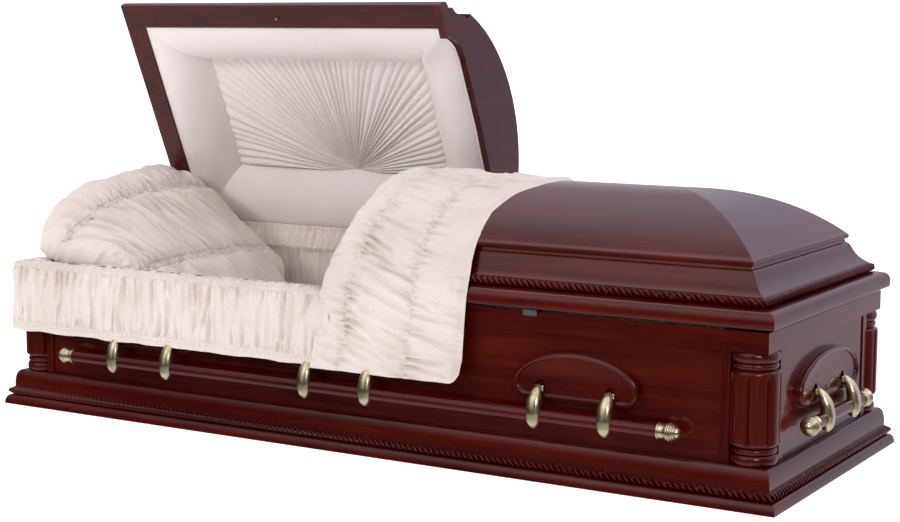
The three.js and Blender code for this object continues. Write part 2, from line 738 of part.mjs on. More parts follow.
// Turns a drawing of inset, height and distance along into place on one of the four sides.
function onSide(geometry, side) {
  const position = geometry.attributes.position;
  for (let i = 0; i < position.count; i += 1) {
    const inset = position.getX(i);
    const z = position.getY(i);
    const along = position.getZ(i);
    const place = {
      front: [along, inset - HALF_WIDTH, z],
      back: [along, HALF_WIDTH - inset, z],
      head: [inset - HALF_LENGTH, along, z],
      foot: [HALF_LENGTH - inset, along, z],
    }[side];
    position.setXYZ(i, ...place);
  }
  return outward(mergeVertices(bare(geometry), 1e-4));
}

// Plaque outline: a half oval with a flat foot and round lower corners
function plaqueShape(halfWidth, shrink = 0) {
  const reach = halfWidth - shrink;
  const crown = PLAQUE_TOP - PLAQUE_WIDEST - shrink;
  const foot = PLAQUE_BOTTOM + shrink;
  const corner = PLAQUE_CORNER - shrink / 2;
  const points = [
    ...curvePoints(new THREE.EllipseCurve(0, PLAQUE_WIDEST, reach, crown, 0, Math.PI), 10),
    ...curvePoints(new THREE.EllipseCurve(corner - reach, PLAQUE_WIDEST, corner, PLAQUE_WIDEST - foot,
      Math.PI, Math.PI * 1.5), 2).slice(1),
    ...curvePoints(new THREE.EllipseCurve(reach - corner, PLAQUE_WIDEST, corner, PLAQUE_WIDEST - foot,
      Math.PI * 1.5, Math.PI * 2), 2).slice(0, -1),
  ];
  return points;
}

function plaque(halfWidth) {
  const back = PANEL_INSET - CLEARANCE;
  const face = PANEL_INSET - PLAQUE_THICKNESS;
  const crest = face - PLAQUE_BORDER_RISE;
  const slab = (outline, inset) => outline.map(([along, z]) => [inset, z, along]);
  const outer = loft([
    slab(plaqueShape(halfWidth), back),
    slab(plaqueShape(halfWidth), face + PLAQUE_EDGE),
    slab(plaqueShape(halfWidth, PLAQUE_BORDER_WIDTH * PLAQUE_BORDER_SHARE), crest),
  ]);
  const field = loft([
    slab(plaqueShape(halfWidth, PLAQUE_BORDER_WIDTH * PLAQUE_BORDER_SHARE * 2), crest - CUT_OVERRUN),
    slab(plaqueShape(halfWidth, PLAQUE_BORDER_WIDTH), face),
  ]);
  const halfSlot = ARM_TIP_WIDTH / 2 + SOCKET_SIDE_CLEARANCE;
  const sockets = [-1, 1].map((side) => block(
    [crest - CUT_OVERRUN, back - SOCKET_FLOOR],
    [PIVOT_HEIGHT - SOCKET_HALF_HEIGHT, PIVOT_HEIGHT + SOCKET_HALF_HEIGHT],
    [side * ARM_HALF_SPACING - halfSlot, side * ARM_HALF_SPACING + halfSlot]));
  return cut(outer, field, ...sockets);
}

function shifted(geometry, x, y) {
  return geometry.clone().translate(x, y, 0);
}

function handlePieces() {
  const pieces = {};
  const names = ["head", "middle", "foot"];
  for (const side of ["front", "back"]) {
    LONG_BAR_STATIONS.forEach((x, k) => {
      pieces[`plaque_${side}_${names[k]}`] = shifted(onSide(plaque(PLAQUE_HALF_WIDTH), side), x, 0);
    });
    pieces[`swing_bar_${side}`] = onSide(
      swingBar(LONG_BAR_CENTRE, LONG_BAR_LENGTH, armPlaces(LONG_BAR_STATIONS)), side);
  }
  for (const side of ["head", "foot"]) {
    pieces[`plaque_${side}`] = onSide(plaque(END_PLAQUE_HALF_WIDTH), side);
    pieces[`swing_bar_${side}`] = onSide(swingBar(0, SHORT_BAR_LENGTH, armPlaces([0])), side);
  }
  return pieces;
}

// Hinges and lock

function knuckles(segments) {
  return segments.map(([x0, x1]) => {
    const barrel = new THREE.CylinderGeometry(KNUCKLE_RADIUS, KNUCKLE_RADIUS, x1 - x0, KNUCKLE_SIDES);
    barrel.rotateY(Math.PI / KNUCKLE_SIDES);
    barrel.rotateZ(Math.PI / 2);
    return barrel.translate((x0 + x1) / 2, HINGE_Y, HINGE_Z);
  });
}

function hingeLeaves(name, endSide) {
  const near = SPLIT_X + endSide * LEAF_END_MARGIN;
  const far = endSide * (HALF_LENGTH - PANEL_BACK_INSET - LEAF_END_MARGIN);
  const [start, stop] = [Math.min(near, far), Math.max(near, far)];
  const pitch = (stop - start) / KNUCKLE_COUNT;
  const segments = Array.from({ length: KNUCKLE_COUNT }, (_, k) =>
    [start + k * pitch + KNUCKLE_SPLIT / 2, start + (k + 1) * pitch - KNUCKLE_SPLIT / 2]);
  const boxSegments = segments.filter((_, k) => k % 2 === 0);
  const lidSegments = segments.filter((_, k) => k % 2 === 1);
  const edge = HINGE_Y - KNUCKLE_RADIUS - KNUCKLE_CLEARANCE;
  const reach = HINGE_Y + 1;
  const boxZ = [RIM_HEIGHT + CLEARANCE, RIM_HEIGHT + CLEARANCE + LEAF_THICKNESS];
  const lidZ = [LID_BASE - CLEARANCE - LEAF_THICKNESS, LID_BASE - CLEARANCE];
  const plate = (z) => block([start, stop], [edge - LEAF_WIDTH, edge], z);
  const boxTabs = boxSegments.map((span) => block(span, [edge - 1, reach], boxZ));
  const boxWebs = boxSegments.map((span) => block(span, [HINGE_Y - 1, reach], [HINGE_Z, boxZ[1]]));
  const lidTabs = lidSegments.map((span) => block(span, [edge - 1, reach], lidZ));
  const lidWebs = lidSegments.map((span) => block(span, [HINGE_Y - 1, reach], [HINGE_Z, lidZ[1]]));
  return {
    [`${name}_hinge_box_leaf`]: join(plate(boxZ), ...boxTabs, ...boxWebs, ...knuckles(boxSegments)),
    [`${name}_hinge_lid_leaf`]: join(plate(lidZ), ...lidTabs, ...lidWebs, ...knuckles(lidSegments)),
  };
}

function lockKeeper() {
  const y = RAIL_INSET - HALF_WIDTH;
  const span = [KEEPER_X - KEEPER_LENGTH / 2, KEEPER_X + KEEPER_LENGTH / 2];
  const foot = RIM_HEIGHT + CLEARANCE;
  return join(
    block(span, [y - CLEARANCE - KEEPER_WALL, y + PANEL_THICKNESS], [foot, foot + KEEPER_WALL]),
    block(span, [y - CLEARANCE - KEEPER_WALL, y - CLEARANCE],
      [RIM_HEIGHT - KEEPER_DROP, foot + KEEPER_WALL]));
}

function lockStud() {
  const stud = new THREE.CylinderGeometry(STUD_RADIUS, STUD_RADIUS * STUD_TAPER, STUD_LENGTH, STUD_SIDES);
  stud.rotateX(Math.PI / 2);
  return stud.translate(STUD_X, STUD_INSET - HALF_WIDTH, LID_BASE - CLEARANCE - STUD_LENGTH / 2);
}

// Soft goods

// A rectangle in plan whose corners step in round the corner posts
function steppedOutline(wall, postClearance) {
  const x = HALF_LENGTH - wall;
  const y = HALF_WIDTH - wall;
  const stepX = HALF_LENGTH - POST_BACK_INSET - postClearance;
  const stepY = HALF_WIDTH - POST_BACK_INSET - postClearance;
  const quarter = [[x, stepY], [stepX, stepY], [stepX, y]];
  return [
    ...quarter,
    ...quarter.map(([a, b]) => [-a, b]).reverse(),
    ...quarter.map(([a, b]) => [-a, -b]),
    ...quarter.map(([a, b]) => [a, -b]).reverse(),
  ].map(([a, b]) => new THREE.Vector2(a, b));
}

function wallLining() {
  const outer = PANEL_BACK_INSET + CLEARANCE;
  const shape = new THREE.Shape(steppedOutline(outer, CLEARANCE));
  const inner = steppedOutline(outer + LINING_THICKNESS, CLEARANCE + LINING_THICKNESS);
  shape.holes.push(new THREE.Path(inner));
  const depth = LINING_TOP - WALL_FOOT;
  return new THREE.ExtrudeGeometry(shape, { depth, bevelEnabled: false }).translate(0, 0, WALL_FOOT);
}

function mattress() {
  const wall = PANEL_BACK_INSET + 2 * CLEARANCE + LINING_THICKNESS;
  const shape = new THREE.Shape(steppedOutline(wall, 2 * CLEARANCE + LINING_THICKNESS));
  const depth = MATTRESS_TOP - WALL_FOOT;
  return new THREE.ExtrudeGeometry(shape, { depth, bevelEnabled: false }).translate(0, 0, WALL_FOOT);
}

// A cushion: a ball drawn out to a rounded rectangle whose edges thin towards the seam
function pillow() {
  const ball = new THREE.SphereGeometry(1, 16, 10);
  const position = ball.attributes.position;
  const tiny = 1e-6;
  const square = (value) => (
    Math.abs(value) < tiny ? 0 : Math.sign(value) * Math.abs(value) ** PILLOW_SQUARENESS);
  for (let i = 0; i < position.count; i += 1) {
    const rise = position.getY(i);
    const ring = Math.hypot(position.getX(i), position.getZ(i));
    const reach = ring < tiny ? 0 : ring ** PILLOW_SQUARENESS;
    const u = reach ? square(position.getX(i) / ring) * reach : 0;
    const v = reach ? square(position.getZ(i) / ring) * reach : 0;
    position.setXYZ(i, v * PILLOW_LENGTH / 2, u * PILLOW_WIDTH / 2, rise * PILLOW_THICKNESS / 2);
  }
  ball.rotateY(THREE.MathUtils.degToRad(PILLOW_SLOPE_DEG));
  return outward(mergeVertices(bare(ball.translate(PILLOW_X, 0, PILLOW_Z)), 1e-3));
}

function skirt() {
  const flapFoot = RIM_HEIGHT + CLEARANCE;
  const flapTop = flapFoot + SKIRT_THICKNESS;
  const drawing = [
    [PANEL_BACK_INSET, flapFoot],
    [PANEL_BACK_INSET, flapTop],
    [SKIRT_TOP_INSET + SKIRT_EDGE, flapTop],
    [SKIRT_TOP_INSET, flapTop - SKIRT_EDGE],
    [SKIRT_HEM_INSET, SKIRT_HEM_HEIGHT],
    [SKIRT_HEM_INSET + SKIRT_THICKNESS, SKIRT_HEM_HEIGHT],
    [SKIRT_TOP_INSET + SKIRT_THICKNESS, flapFoot],
  ];
  const end = (inset) => [inset - HALF_LENGTH, HALF_WIDTH - SKIRT_BACK_MARGIN];
  return moulding(drawing, [squareCutAt(SKIRT_FOOT_X, -1), cornerAt(-1, -1), end]);
}

// The throw lies over the crown of the foot lid and hangs down in front of the rim.
function throwOver() {
  const crown = crownArc(0, CROWN_STEPS);
  const bridge = [
    COVE_INSET - CROWN_DRIP - THROW_BRIDGE_REACH,
    LID_BASE + CROWN_SEAT_HEIGHT + THROW_BRIDGE_RISE,
  ];
  const path = [...lidRoundover().slice(0, 3), bridge, ...crown.slice(1, -1)];
  const layer = (offset, hemInset) => [
    [hemInset - HALF_WIDTH, THROW_HEM_HEIGHT],
    ...path.map(([inset, z]) => [inset - HALF_WIDTH - offset * Math.SQRT1_2, z + offset * Math.SQRT1_2]),
    [0, LID_BASE + CROWN_HEIGHT + offset],
    ...crown.filter(([inset]) => HALF_WIDTH - inset < THROW_BACK_Y)
      .map(([inset, z]) => [HALF_WIDTH - inset, z + offset]).reverse(),
  ];
  const loop = [
    ...layer(THROW_STANDOFF + THROW_THICKNESS, THROW_HEM_INSET),
    ...layer(THROW_STANDOFF, THROW_HEM_INSET + THROW_THICKNESS).reverse(),
  ];
  const shape = new THREE.Shape(loop.map(([y, z]) => new THREE.Vector2(y, z)));
  const depth = THROW_FOOT_X - THROW_HEAD_X;
  const sheet = new THREE.ExtrudeGeometry(shape, { depth, bevelEnabled: false });
  sheet.rotateX(Math.PI / 2);
  sheet.rotateZ(Math.PI / 2);
  return sheet.translate(THROW_HEAD_X, 0, 0);
}

// The padded frame round the pleated fan: each roll runs between two corners of the frame opening.
function headLidPadding() {
  const z = (height) => LID_BASE + height;
  const edgeX = FRAME_INSET + CLEARANCE - HALF_LENGTH;
  const edgeY = HALF_WIDTH - FRAME_INSET - CLEARANCE;
  const boardX = SPLIT_X - SPLIT_GAP / 2 - HEADER_THICKNESS - 2 * CLEARANCE;
  const outer = [[edgeX, -edgeY], [boardX, -edgeY], [boardX, edgeY], [edgeX, edgeY]];
  const away = ([x, y]) => [
    x + CLEARANCE * Math.sign(x - (FAN_HEAD_X + FAN_FOOT_X) / 2),
    y + CLEARANCE * Math.sign(y),
  ];
  const inner = [
    [FAN_HEAD_X, FAN_FRONT_Y],
    [FAN_FOOT_X, FAN_FRONT_Y],
    [FAN_FOOT_X, FAN_BACK_Y],
    [FAN_HEAD_X, FAN_BACK_Y],
  ].map(away);
  const section = [
    ...bend([0, z(ROLL_FOOT)], [ROLL_BULGE, z(ROLL_BELLY)], [1, z(FAN_HEIGHT)], 4),
    [1, z(FAN_HEIGHT + FAN_THICKNESS)],
    [ROLL_BACK_SHARE, z(FAN_HEIGHT + FAN_THICKNESS)],
    [0, z(LID_ROUND_HEIGHT + LID_ROPE_HEIGHT - ROLL_BACK_DROP)],
  ];
  const roll = (a, b) => {
    const ring = (from, to) => section.map(([t, height]) => {
      const x = outer[from][0] + (inner[from][0] - outer[from][0]) * t;
      const y = outer[from][1] + (inner[from][1] - outer[from][1]) * t;
      const dx = Math.sign(outer[to][0] - outer[from][0]) * CLEARANCE;
      const dy = Math.sign(outer[to][1] - outer[from][1]) * CLEARANCE;
      return [x + dx, y + dy, height];
    });
    return loft([ring(a, b), ring(b, a)]);
  };
  const fanX = [FAN_HEAD_X + CLEARANCE, FAN_FOOT_X - CLEARANCE];
  const fanY = [FAN_FRONT_Y + CLEARANCE, FAN_BACK_Y - CLEARANCE];
  return {
    head_lid_roll_front: roll(0, 1),
    head_lid_roll_split: roll(1, 2),
    head_lid_roll_back: roll(2, 3),
    head_lid_roll_end: roll(3, 0),
    head_lid_fan_panel: block(fanX, fanY, [z(FAN_HEIGHT), z(FAN_HEIGHT + FAN_THICKNESS)]),
  };
}

function footLidLining() {
  const back = COVE_INSET + COVE_WALL + FOOT_LINING_MARGIN;
  const foot = LID_BASE + FOOT_LINING_HEIGHT;
  const near = SPLIT_X + SPLIT_GAP / 2 + HEADER_THICKNESS + CLEARANCE;
  return block([near, HALF_LENGTH - back], [back - HALF_WIDTH, HALF_WIDTH - back],
    [foot, foot + FOOT_LINING_THICKNESS]);
}

// The whole casket

function mesh(name, geometry, finish) {
  const piece = new THREE.Mesh(geometry, finish);
  piece.name = name;
  return piece;
}

function addAll(group, pieces, finish) {
  for (const [name, geometry] of Object.entries(pieces)) {
    group.add(mesh(name, geometry, finish));
  }
}

const headLeaves = hingeLeaves("head_lid", -1);
const footLeaves = hingeLeaves("foot_lid", 1);

const casket = new THREE.Group();
addAll(casket, plinthPieces(), MAHOGANY);
addAll(casket, boxPieces(), MAHOGANY);
addAll(casket, cornerPieces(), MAHOGANY);
addAll(casket, handlePieces(), MAHOGANY);
casket.add(mesh("head_lid_hinge_box_leaf", headLeaves.head_lid_hinge_box_leaf, STEEL));
casket.add(mesh("foot_lid_hinge_box_leaf", footLeaves.foot_lid_hinge_box_leaf, STEEL));
casket.add(mesh("lock_keeper", lockKeeper(), STEEL));
addAll(casket, { wall_lining: wallLining(), mattress: mattress(), pillow: pillow(), skirt: skirt() }, CREPE);

// The foot lid is shut and carries the throw.
addAll(casket, lidPieces("foot_lid", 1), MAHOGANY);
casket.add(mesh("foot_lid_lining", footLidLining(), CREPE));
casket.add(mesh("foot_lid_hinge_lid_leaf", footLeaves.foot_lid_hinge_lid_leaf, STEEL));
casket.add(mesh("throw", throwOver(), CREPE));

// The head lid is drawn shut inside a group that turns it open about the hinge.
const headLid = new THREE.Group();
addAll(headLid, lidPieces("head_lid", -1), MAHOGANY);
addAll(headLid, headLidPadding(), SUEDE);
headLid.add(mesh("lock_stud", lockStud(), STEEL));
headLid.add(mesh("head_lid_hinge_lid_leaf", headLeaves.head_lid_hinge_lid_leaf, STEEL));
headLid.position.set(0, -HINGE_Y, -HINGE_Z);
const headLidTurn = new THREE.Group();
headLidTurn.add(headLid);
headLidTurn.position.set(0, HINGE_Y, HINGE_Z);
headLidTurn.rotation.x = -THREE.MathUtils.degToRad(HEAD_LID_OPEN_DEG);
casket.add(headLidTurn);

export default casket;
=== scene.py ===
import logging
import math
from collections.abc import Sequence
from dataclasses import dataclass, field
from enum import Enum

import bmesh
import bpy
import numpy as np
from mathutils import Matrix, Vector


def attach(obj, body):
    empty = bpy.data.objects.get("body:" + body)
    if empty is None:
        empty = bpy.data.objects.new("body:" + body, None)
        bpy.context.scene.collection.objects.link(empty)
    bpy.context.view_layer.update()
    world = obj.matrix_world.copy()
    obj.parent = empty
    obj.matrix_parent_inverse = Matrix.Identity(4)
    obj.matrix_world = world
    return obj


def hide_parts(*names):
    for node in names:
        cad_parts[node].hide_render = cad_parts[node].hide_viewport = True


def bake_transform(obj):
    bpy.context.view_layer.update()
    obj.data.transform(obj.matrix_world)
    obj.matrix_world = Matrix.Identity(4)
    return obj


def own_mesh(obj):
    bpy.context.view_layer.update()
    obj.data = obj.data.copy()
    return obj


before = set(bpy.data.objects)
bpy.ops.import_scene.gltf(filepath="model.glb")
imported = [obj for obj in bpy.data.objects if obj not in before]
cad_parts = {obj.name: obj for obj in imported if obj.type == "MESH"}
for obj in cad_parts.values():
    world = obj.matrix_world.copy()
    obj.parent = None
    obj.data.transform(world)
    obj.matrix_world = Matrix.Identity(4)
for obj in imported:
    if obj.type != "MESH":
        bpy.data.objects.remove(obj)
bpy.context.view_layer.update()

LOG = logging.getLogger("casket")

# Sizes shared by several sub-assemblies, in millimetres. Insets are measured inwards from the plinth's edge.
HALF_LENGTH = 1060.0
HALF_WIDTH = 390.0
RIM_HEIGHT = 367.7
LID_BASE = 375.5
HINGE_Y = 350.0
HINGE_Z = 364.5
OPEN_DEG = 66.3
WALL_TOP = 323.4
PLINTH_HEIGHT = 87.3
PANEL_INSET = 42.0

Profile = list[tuple[float, float]]


class Side(Enum):
    """The four sides of the box."""

    FRONT = "front"
    BACK = "back"
    HEAD = "head"
    FOOT = "foot"

    def place(self, inset: np.ndarray, along: np.ndarray, z: np.ndarray) -> np.ndarray:
        """Turns insets, distances along the side and heights into points.

        Args:
            inset: distances inwards from the plinth's edge.
            along: x on a long side, y on an end.
            z: heights.

        Returns:
            An array of points with a last axis of x, y and z.
        """
        inset, along, z = np.broadcast_arrays(inset, along, z)
        if self is Side.FRONT:
            return np.stack([along, inset - HALF_WIDTH, z], -1)
        if self is Side.BACK:
            return np.stack([along, HALF_WIDTH - inset, z], -1)
        if self is Side.HEAD:
            return np.stack([inset - HALF_LENGTH, along, z], -1)
        return np.stack([HALF_LENGTH - inset, along, z], -1)

    @property
    def half(self) -> float:
        """Half the plinth's length along this side."""
        return HALF_LENGTH if self in (Side.FRONT, Side.BACK) else HALF_WIDTH


def bend(start: Sequence[float], control: Sequence[float], end: Sequence[float], steps: int) -> Profile:
    """Points on a quadratic curve.

    Args:
        start: first point.
        control: point that the curve leans towards.
        end: last point.
        steps: number of spans.

    Returns:
        The points, both ends included.
    """
    t = np.linspace(0, 1, steps + 1)[:, None]
    a, b, c = (np.array(p, float) for p in (start, control, end))
    return [tuple(p) for p in (1 - t) ** 2 * a + 2 * t * (1 - t) * b + t**2 * c]


def arc(centre: Sequence[float], radii: Sequence[float], start_deg: float, end_deg: float, steps: int) -> Profile:
    """Points on an ellipse.

    Args:
        centre: its centre.
        radii: its two radii.
        start_deg: first angle.
        end_deg: last angle.
        steps: number of spans.

    Returns:
        The points, both ends included.
    """
    angle = np.radians(np.linspace(start_deg, end_deg, steps + 1))
    return list(zip(centre[0] + radii[0] * np.cos(angle), centre[1] + radii[1] * np.sin(angle)))


def run_along(points: np.ndarray) -> np.ndarray:
    """Distance of each point of a line from its first point."""
    return np.concatenate([[0], np.cumsum(np.linalg.norm(np.diff(points, axis=0), axis=1))])


def resample(profile: Sequence[Sequence[float]], count: int) -> np.ndarray:
    """Spreads points evenly along a line.

    Args:
        profile: the line's corners.
        count: number of points wanted.

    Returns:
        An array of count points.
    """
    points = np.array(profile, float)
    run = run_along(points)
    at = np.linspace(0, run[-1], count)
    return np.stack([np.interp(at, run, points[:, k]) for k in range(points.shape[1])], 1)


def rounded(profile: Sequence[Sequence[float]], passes: int = 2) -> Profile:
    """Cuts the corners of an open line, again and again, until it is a smooth curve.

    Args:
        profile: the line's corners.
        passes: number of times the corners are cut.

    Returns:
        The smoother line.
    """
    points = np.array(profile, float)
    for _ in range(passes):
        near = 0.75 * points[:-1] + 0.25 * points[1:]
        far = 0.25 * points[:-1] + 0.75 * points[1:]
        middle = np.stack([near, far], 1).reshape(-1, points.shape[1])[1:-1]
        points = np.concatenate([points[:1], middle, points[-1:]])
    return [tuple(p) for p in points]


def opened(points: np.ndarray) -> np.ndarray:
    """Turns points of the shut head lid to where they are when it stands open."""
    angle = math.radians(OPEN_DEG)
    dy, dz = points[..., 1] - HINGE_Y, points[..., 2] - HINGE_Z
    turned = points.copy()
    turned[..., 1] = HINGE_Y + dy * math.cos(angle) + dz * math.sin(angle)
    turned[..., 2] = HINGE_Z - dy * math.sin(angle) + dz * math.cos(angle)
    return turned


class Ripple:
    """Smooth random relief, the same on every run."""

    def __init__(self, seed: int) -> None:
        """Fills the table of random heights from a seed."""
        self.table = np.random.default_rng(seed).uniform(-1, 1, (256, 256))

    def noise(self, u: np.ndarray, v: np.ndarray) -> np.ndarray:
        """Smooth values from -1 to 1 on a unit lattice."""
        u, v = np.broadcast_arrays(np.asarray(u, float), np.asarray(v, float))
        iu, iv = np.floor(u).astype(int), np.floor(v).astype(int)
        fu, fv = u - iu, v - iv
        fu, fv = fu * fu * (3 - 2 * fu), fv * fv * (3 - 2 * fv)
        table = self.table
        near = table[iu % 256, iv % 256] * (1 - fu) + table[(iu + 1) % 256, iv % 256] * fu
        far = table[iu % 256, (iv + 1) % 256] * (1 - fu) + table[(iu + 1) % 256, (iv + 1) % 256] * fu
        return near * (1 - fv) + far * fv

    def puckers(self, across: np.ndarray, from_seam: np.ndarray, pitch: float = 9.0, reach: float = 6.0) -> np.ndarray:
        """Small gathers that a shirred seam pulls up, and the groove of the seam itself.

        Args:
            across: distance along the seam.
            from_seam: distance from the seam.
            pitch: usual distance from gather to gather.
            reach: how far the gathers run out from the seam.

        Returns:
            Heights of about -1 to 1.
        """
        phase = across / pitch + 0.9 * self.noise(across / (2.5 * pitch), 0.3 + from_seam / (6 * reach))
        gather = np.abs(np.sin(math.pi * phase)) ** 0.8 - 0.5
        return gather * np.exp(-((from_seam / reach) ** 2)) - 0.6 * np.exp(-((from_seam / (0.3 * reach)) ** 2))


@dataclass
class Creases:
    """Irregular folds that run out from a gathered seam and die away."""

    seed: int
    spacing: float = 22.0
    depth: float = 4.5
    width: float = 5.0
    lean: float = 0.0
    shortest: float = 0.35
    wander: float = 7.0

    def carve(self, across: np.ndarray, along: np.ndarray, start: float, end: float) -> np.ndarray:
        """Works out the relief of the folds.

        Args:
            across: distance along the seam.
            along: distance out from the seam.
            start: where the folds begin.
            end: where the longest of them end.

        Returns:
            Heights, negative in the valleys and a little positive beside them.
        """
        pick = np.random.default_rng(self.seed)
        low, high = float(across.min()) - 20, float(across.max()) + 20
        relief = np.zeros(np.broadcast(across, along).shape)
        share = (along - start) / (end - start)
        place = low
        while place < high:
            place += self.spacing * pick.uniform(0.45, 1.55)
            length = pick.uniform(self.shortest, 1.15)
            deep = self.depth * pick.uniform(0.45, 1.25)
            wide = self.width * pick.uniform(0.7, 1.35)
            tilt = self.lean + pick.normal(0, 0.07)
            swing, phase, beat = pick.uniform(-1, 1) * self.wander, pick.uniform(0, 6.3), pick.uniform(2, 5)
            gone = np.clip(share / length, 0, 1)
            centre = place + tilt * (along - start) + swing * (np.sin(beat * gone + phase) - math.sin(phase)) * gone
            off = np.abs(across - centre) / (wide * (0.6 + 0.9 * gone))
            fade = np.clip(1 - gone, 0, 1) ** 0.7 * np.clip(share * 30 + 0.2, 0, 1)
            relief += deep * fade * (0.55 * np.exp(-(((off - 1.75) / 0.85) ** 2)) - np.exp(-(off**1.5)))
        return relief


def add_creases(
    height: np.ndarray, seam: np.ndarray, seed: int, sets: Sequence[tuple], wander: float = 7.0, overlap: float = 0.5,
) -> None:
    """Adds several sets of creases to a relief, in place.

    Args:
        height: the relief.
        seam: distance along the seams.
        seed: seed of the first set; the others count on from it.
        sets: for each set its distance from the seam, reach, spacing, depth, width and lean.
        wander: how far the creases swing.
        overlap: how far a set runs past its seam.
    """
    for k, (distance, reach, spacing, depth, width, lean) in enumerate(sets):
        creases = Creases(seed + k, spacing, depth, width, lean, 0.3, wander)
        height += creases.carve(seam, distance, 0, reach) * (distance >= -overlap)


@dataclass
class Skin:
    """Points and faces of one piece while it is made, in millimetres."""

    points: list[np.ndarray] = field(default_factory=list)
    faces: list[tuple[int, ...]] = field(default_factory=list)
    count: int = 0

    def grid(self, rows: np.ndarray, wrap_columns: bool = False) -> None:
        """Adds a surface over rows of points.

        Args:
            rows: an array of rows, columns and x, y, z.
            wrap_columns: joins the last column to the first.
        """
        m, n = rows.shape[:2]
        index = np.arange(m * n).reshape(m, n) + self.count
        if wrap_columns:
            index = np.concatenate([index, index[:, :1]], 1)
        quads = np.stack([index[:-1, :-1], index[:-1, 1:], index[1:, 1:], index[1:, :-1]], -1).reshape(-1, 4)
        self.faces.extend(map(tuple, quads.tolist()))
        self.points.append(rows.reshape(-1, 3))
        self.count += m * n

    def cap(self, ring: np.ndarray) -> None:
        """Adds one flat face over a ring of points."""
        self.faces.append(tuple(range(self.count, self.count + len(ring))))
        self.points.append(ring.reshape(-1, 3))
        self.count += len(ring)

    def prism(self, near: np.ndarray, far: np.ndarray) -> None:
        """Adds a closed solid between two rings with equal numbers of points."""
        self.tube(np.stack([near, far]))

    def tube(self, rows: np.ndarray) -> None:
        """Adds a tube over rings of points, closed flat at both ends."""
        self.grid(rows, wrap_columns=True)
        self.cap(rows[0])
        self.cap(rows[-1][::-1])

    def pad(self, first: np.ndarray, second: np.ndarray) -> None:
        """Adds a closed pad between two grids with equal numbers of rows and columns."""
        self.grid(first)
        self.grid(second[::-1])
        for edge in (0, -1):
            self.grid(np.stack([first[edge], second[edge]]))
        for edge in (0, -1):
            self.grid(np.stack([first[:, edge], second[:, edge]]))

    def piece(self, name: str, finish: bpy.types.Material, sharp_deg: float = 32) -> bpy.types.Object:
        """Makes the object.

        Args:
            name: its name.
            finish: its material.
            sharp_deg: edges sharper than this stay crisp.

        Returns:
            The new object, in metres, linked to the scene.
        """
        mesh = bpy.data.meshes.new(name)
        mesh.from_pydata((np.concatenate(self.points) / 1000).tolist(), [], self.faces)
        shape = bmesh.new()
        shape.from_mesh(mesh)
        bmesh.ops.remove_doubles(shape, verts=shape.verts, dist=1e-6)
        bmesh.ops.dissolve_degenerate(shape, edges=shape.edges, dist=1e-7)
        bmesh.ops.recalc_face_normals(shape, faces=shape.faces)
        shape.to_mesh(mesh)
        shape.free()
        mesh.polygons.foreach_set("use_smooth", [True] * len(mesh.polygons))
        mesh.set_sharp_from_angle(angle=math.radians(sharp_deg))
        made = bpy.data.objects.new(name, mesh)
        bpy.context.scene.collection.objects.link(made)
        mesh.materials.append(finish)
        return made


# Shader nodes


class Wire:
    """A shader socket that takes part in arithmetic."""

    def __init__(self, tree: "Tree", socket: bpy.types.NodeSocket) -> None:
        """Keeps the socket and the tree that it is in."""
        self.tree = tree
        self.socket = socket

    def _math(self, operation: str, first: "Wire | float", second: "Wire | float") -> "Wire":
        """Adds one Math node."""
        return self.tree.make("ShaderNodeMath", {"operation": operation}, {0: first, 1: second})

    def __add__(self, other: "Wire | float") -> "Wire":
        """Self plus other."""
        return self._math("ADD", self, other)

    __radd__ = __add__

    def __mul__(self, other: "Wire | float") -> "Wire":
        """Self times other."""
        return self._math("MULTIPLY", self, other)

    __rmul__ = __mul__

    def __sub__(self, other: "Wire | float") -> "Wire":
        """Self less other."""
        return self._math("SUBTRACT", self, other)

    def __rsub__(self, other: "Wire | float") -> "Wire":
        """Other less self."""
        return self._math("SUBTRACT", other, self)

    def __pow__(self, other: "Wire | float") -> "Wire":
        """Self to a power."""
        return self._math("POWER", self, other)


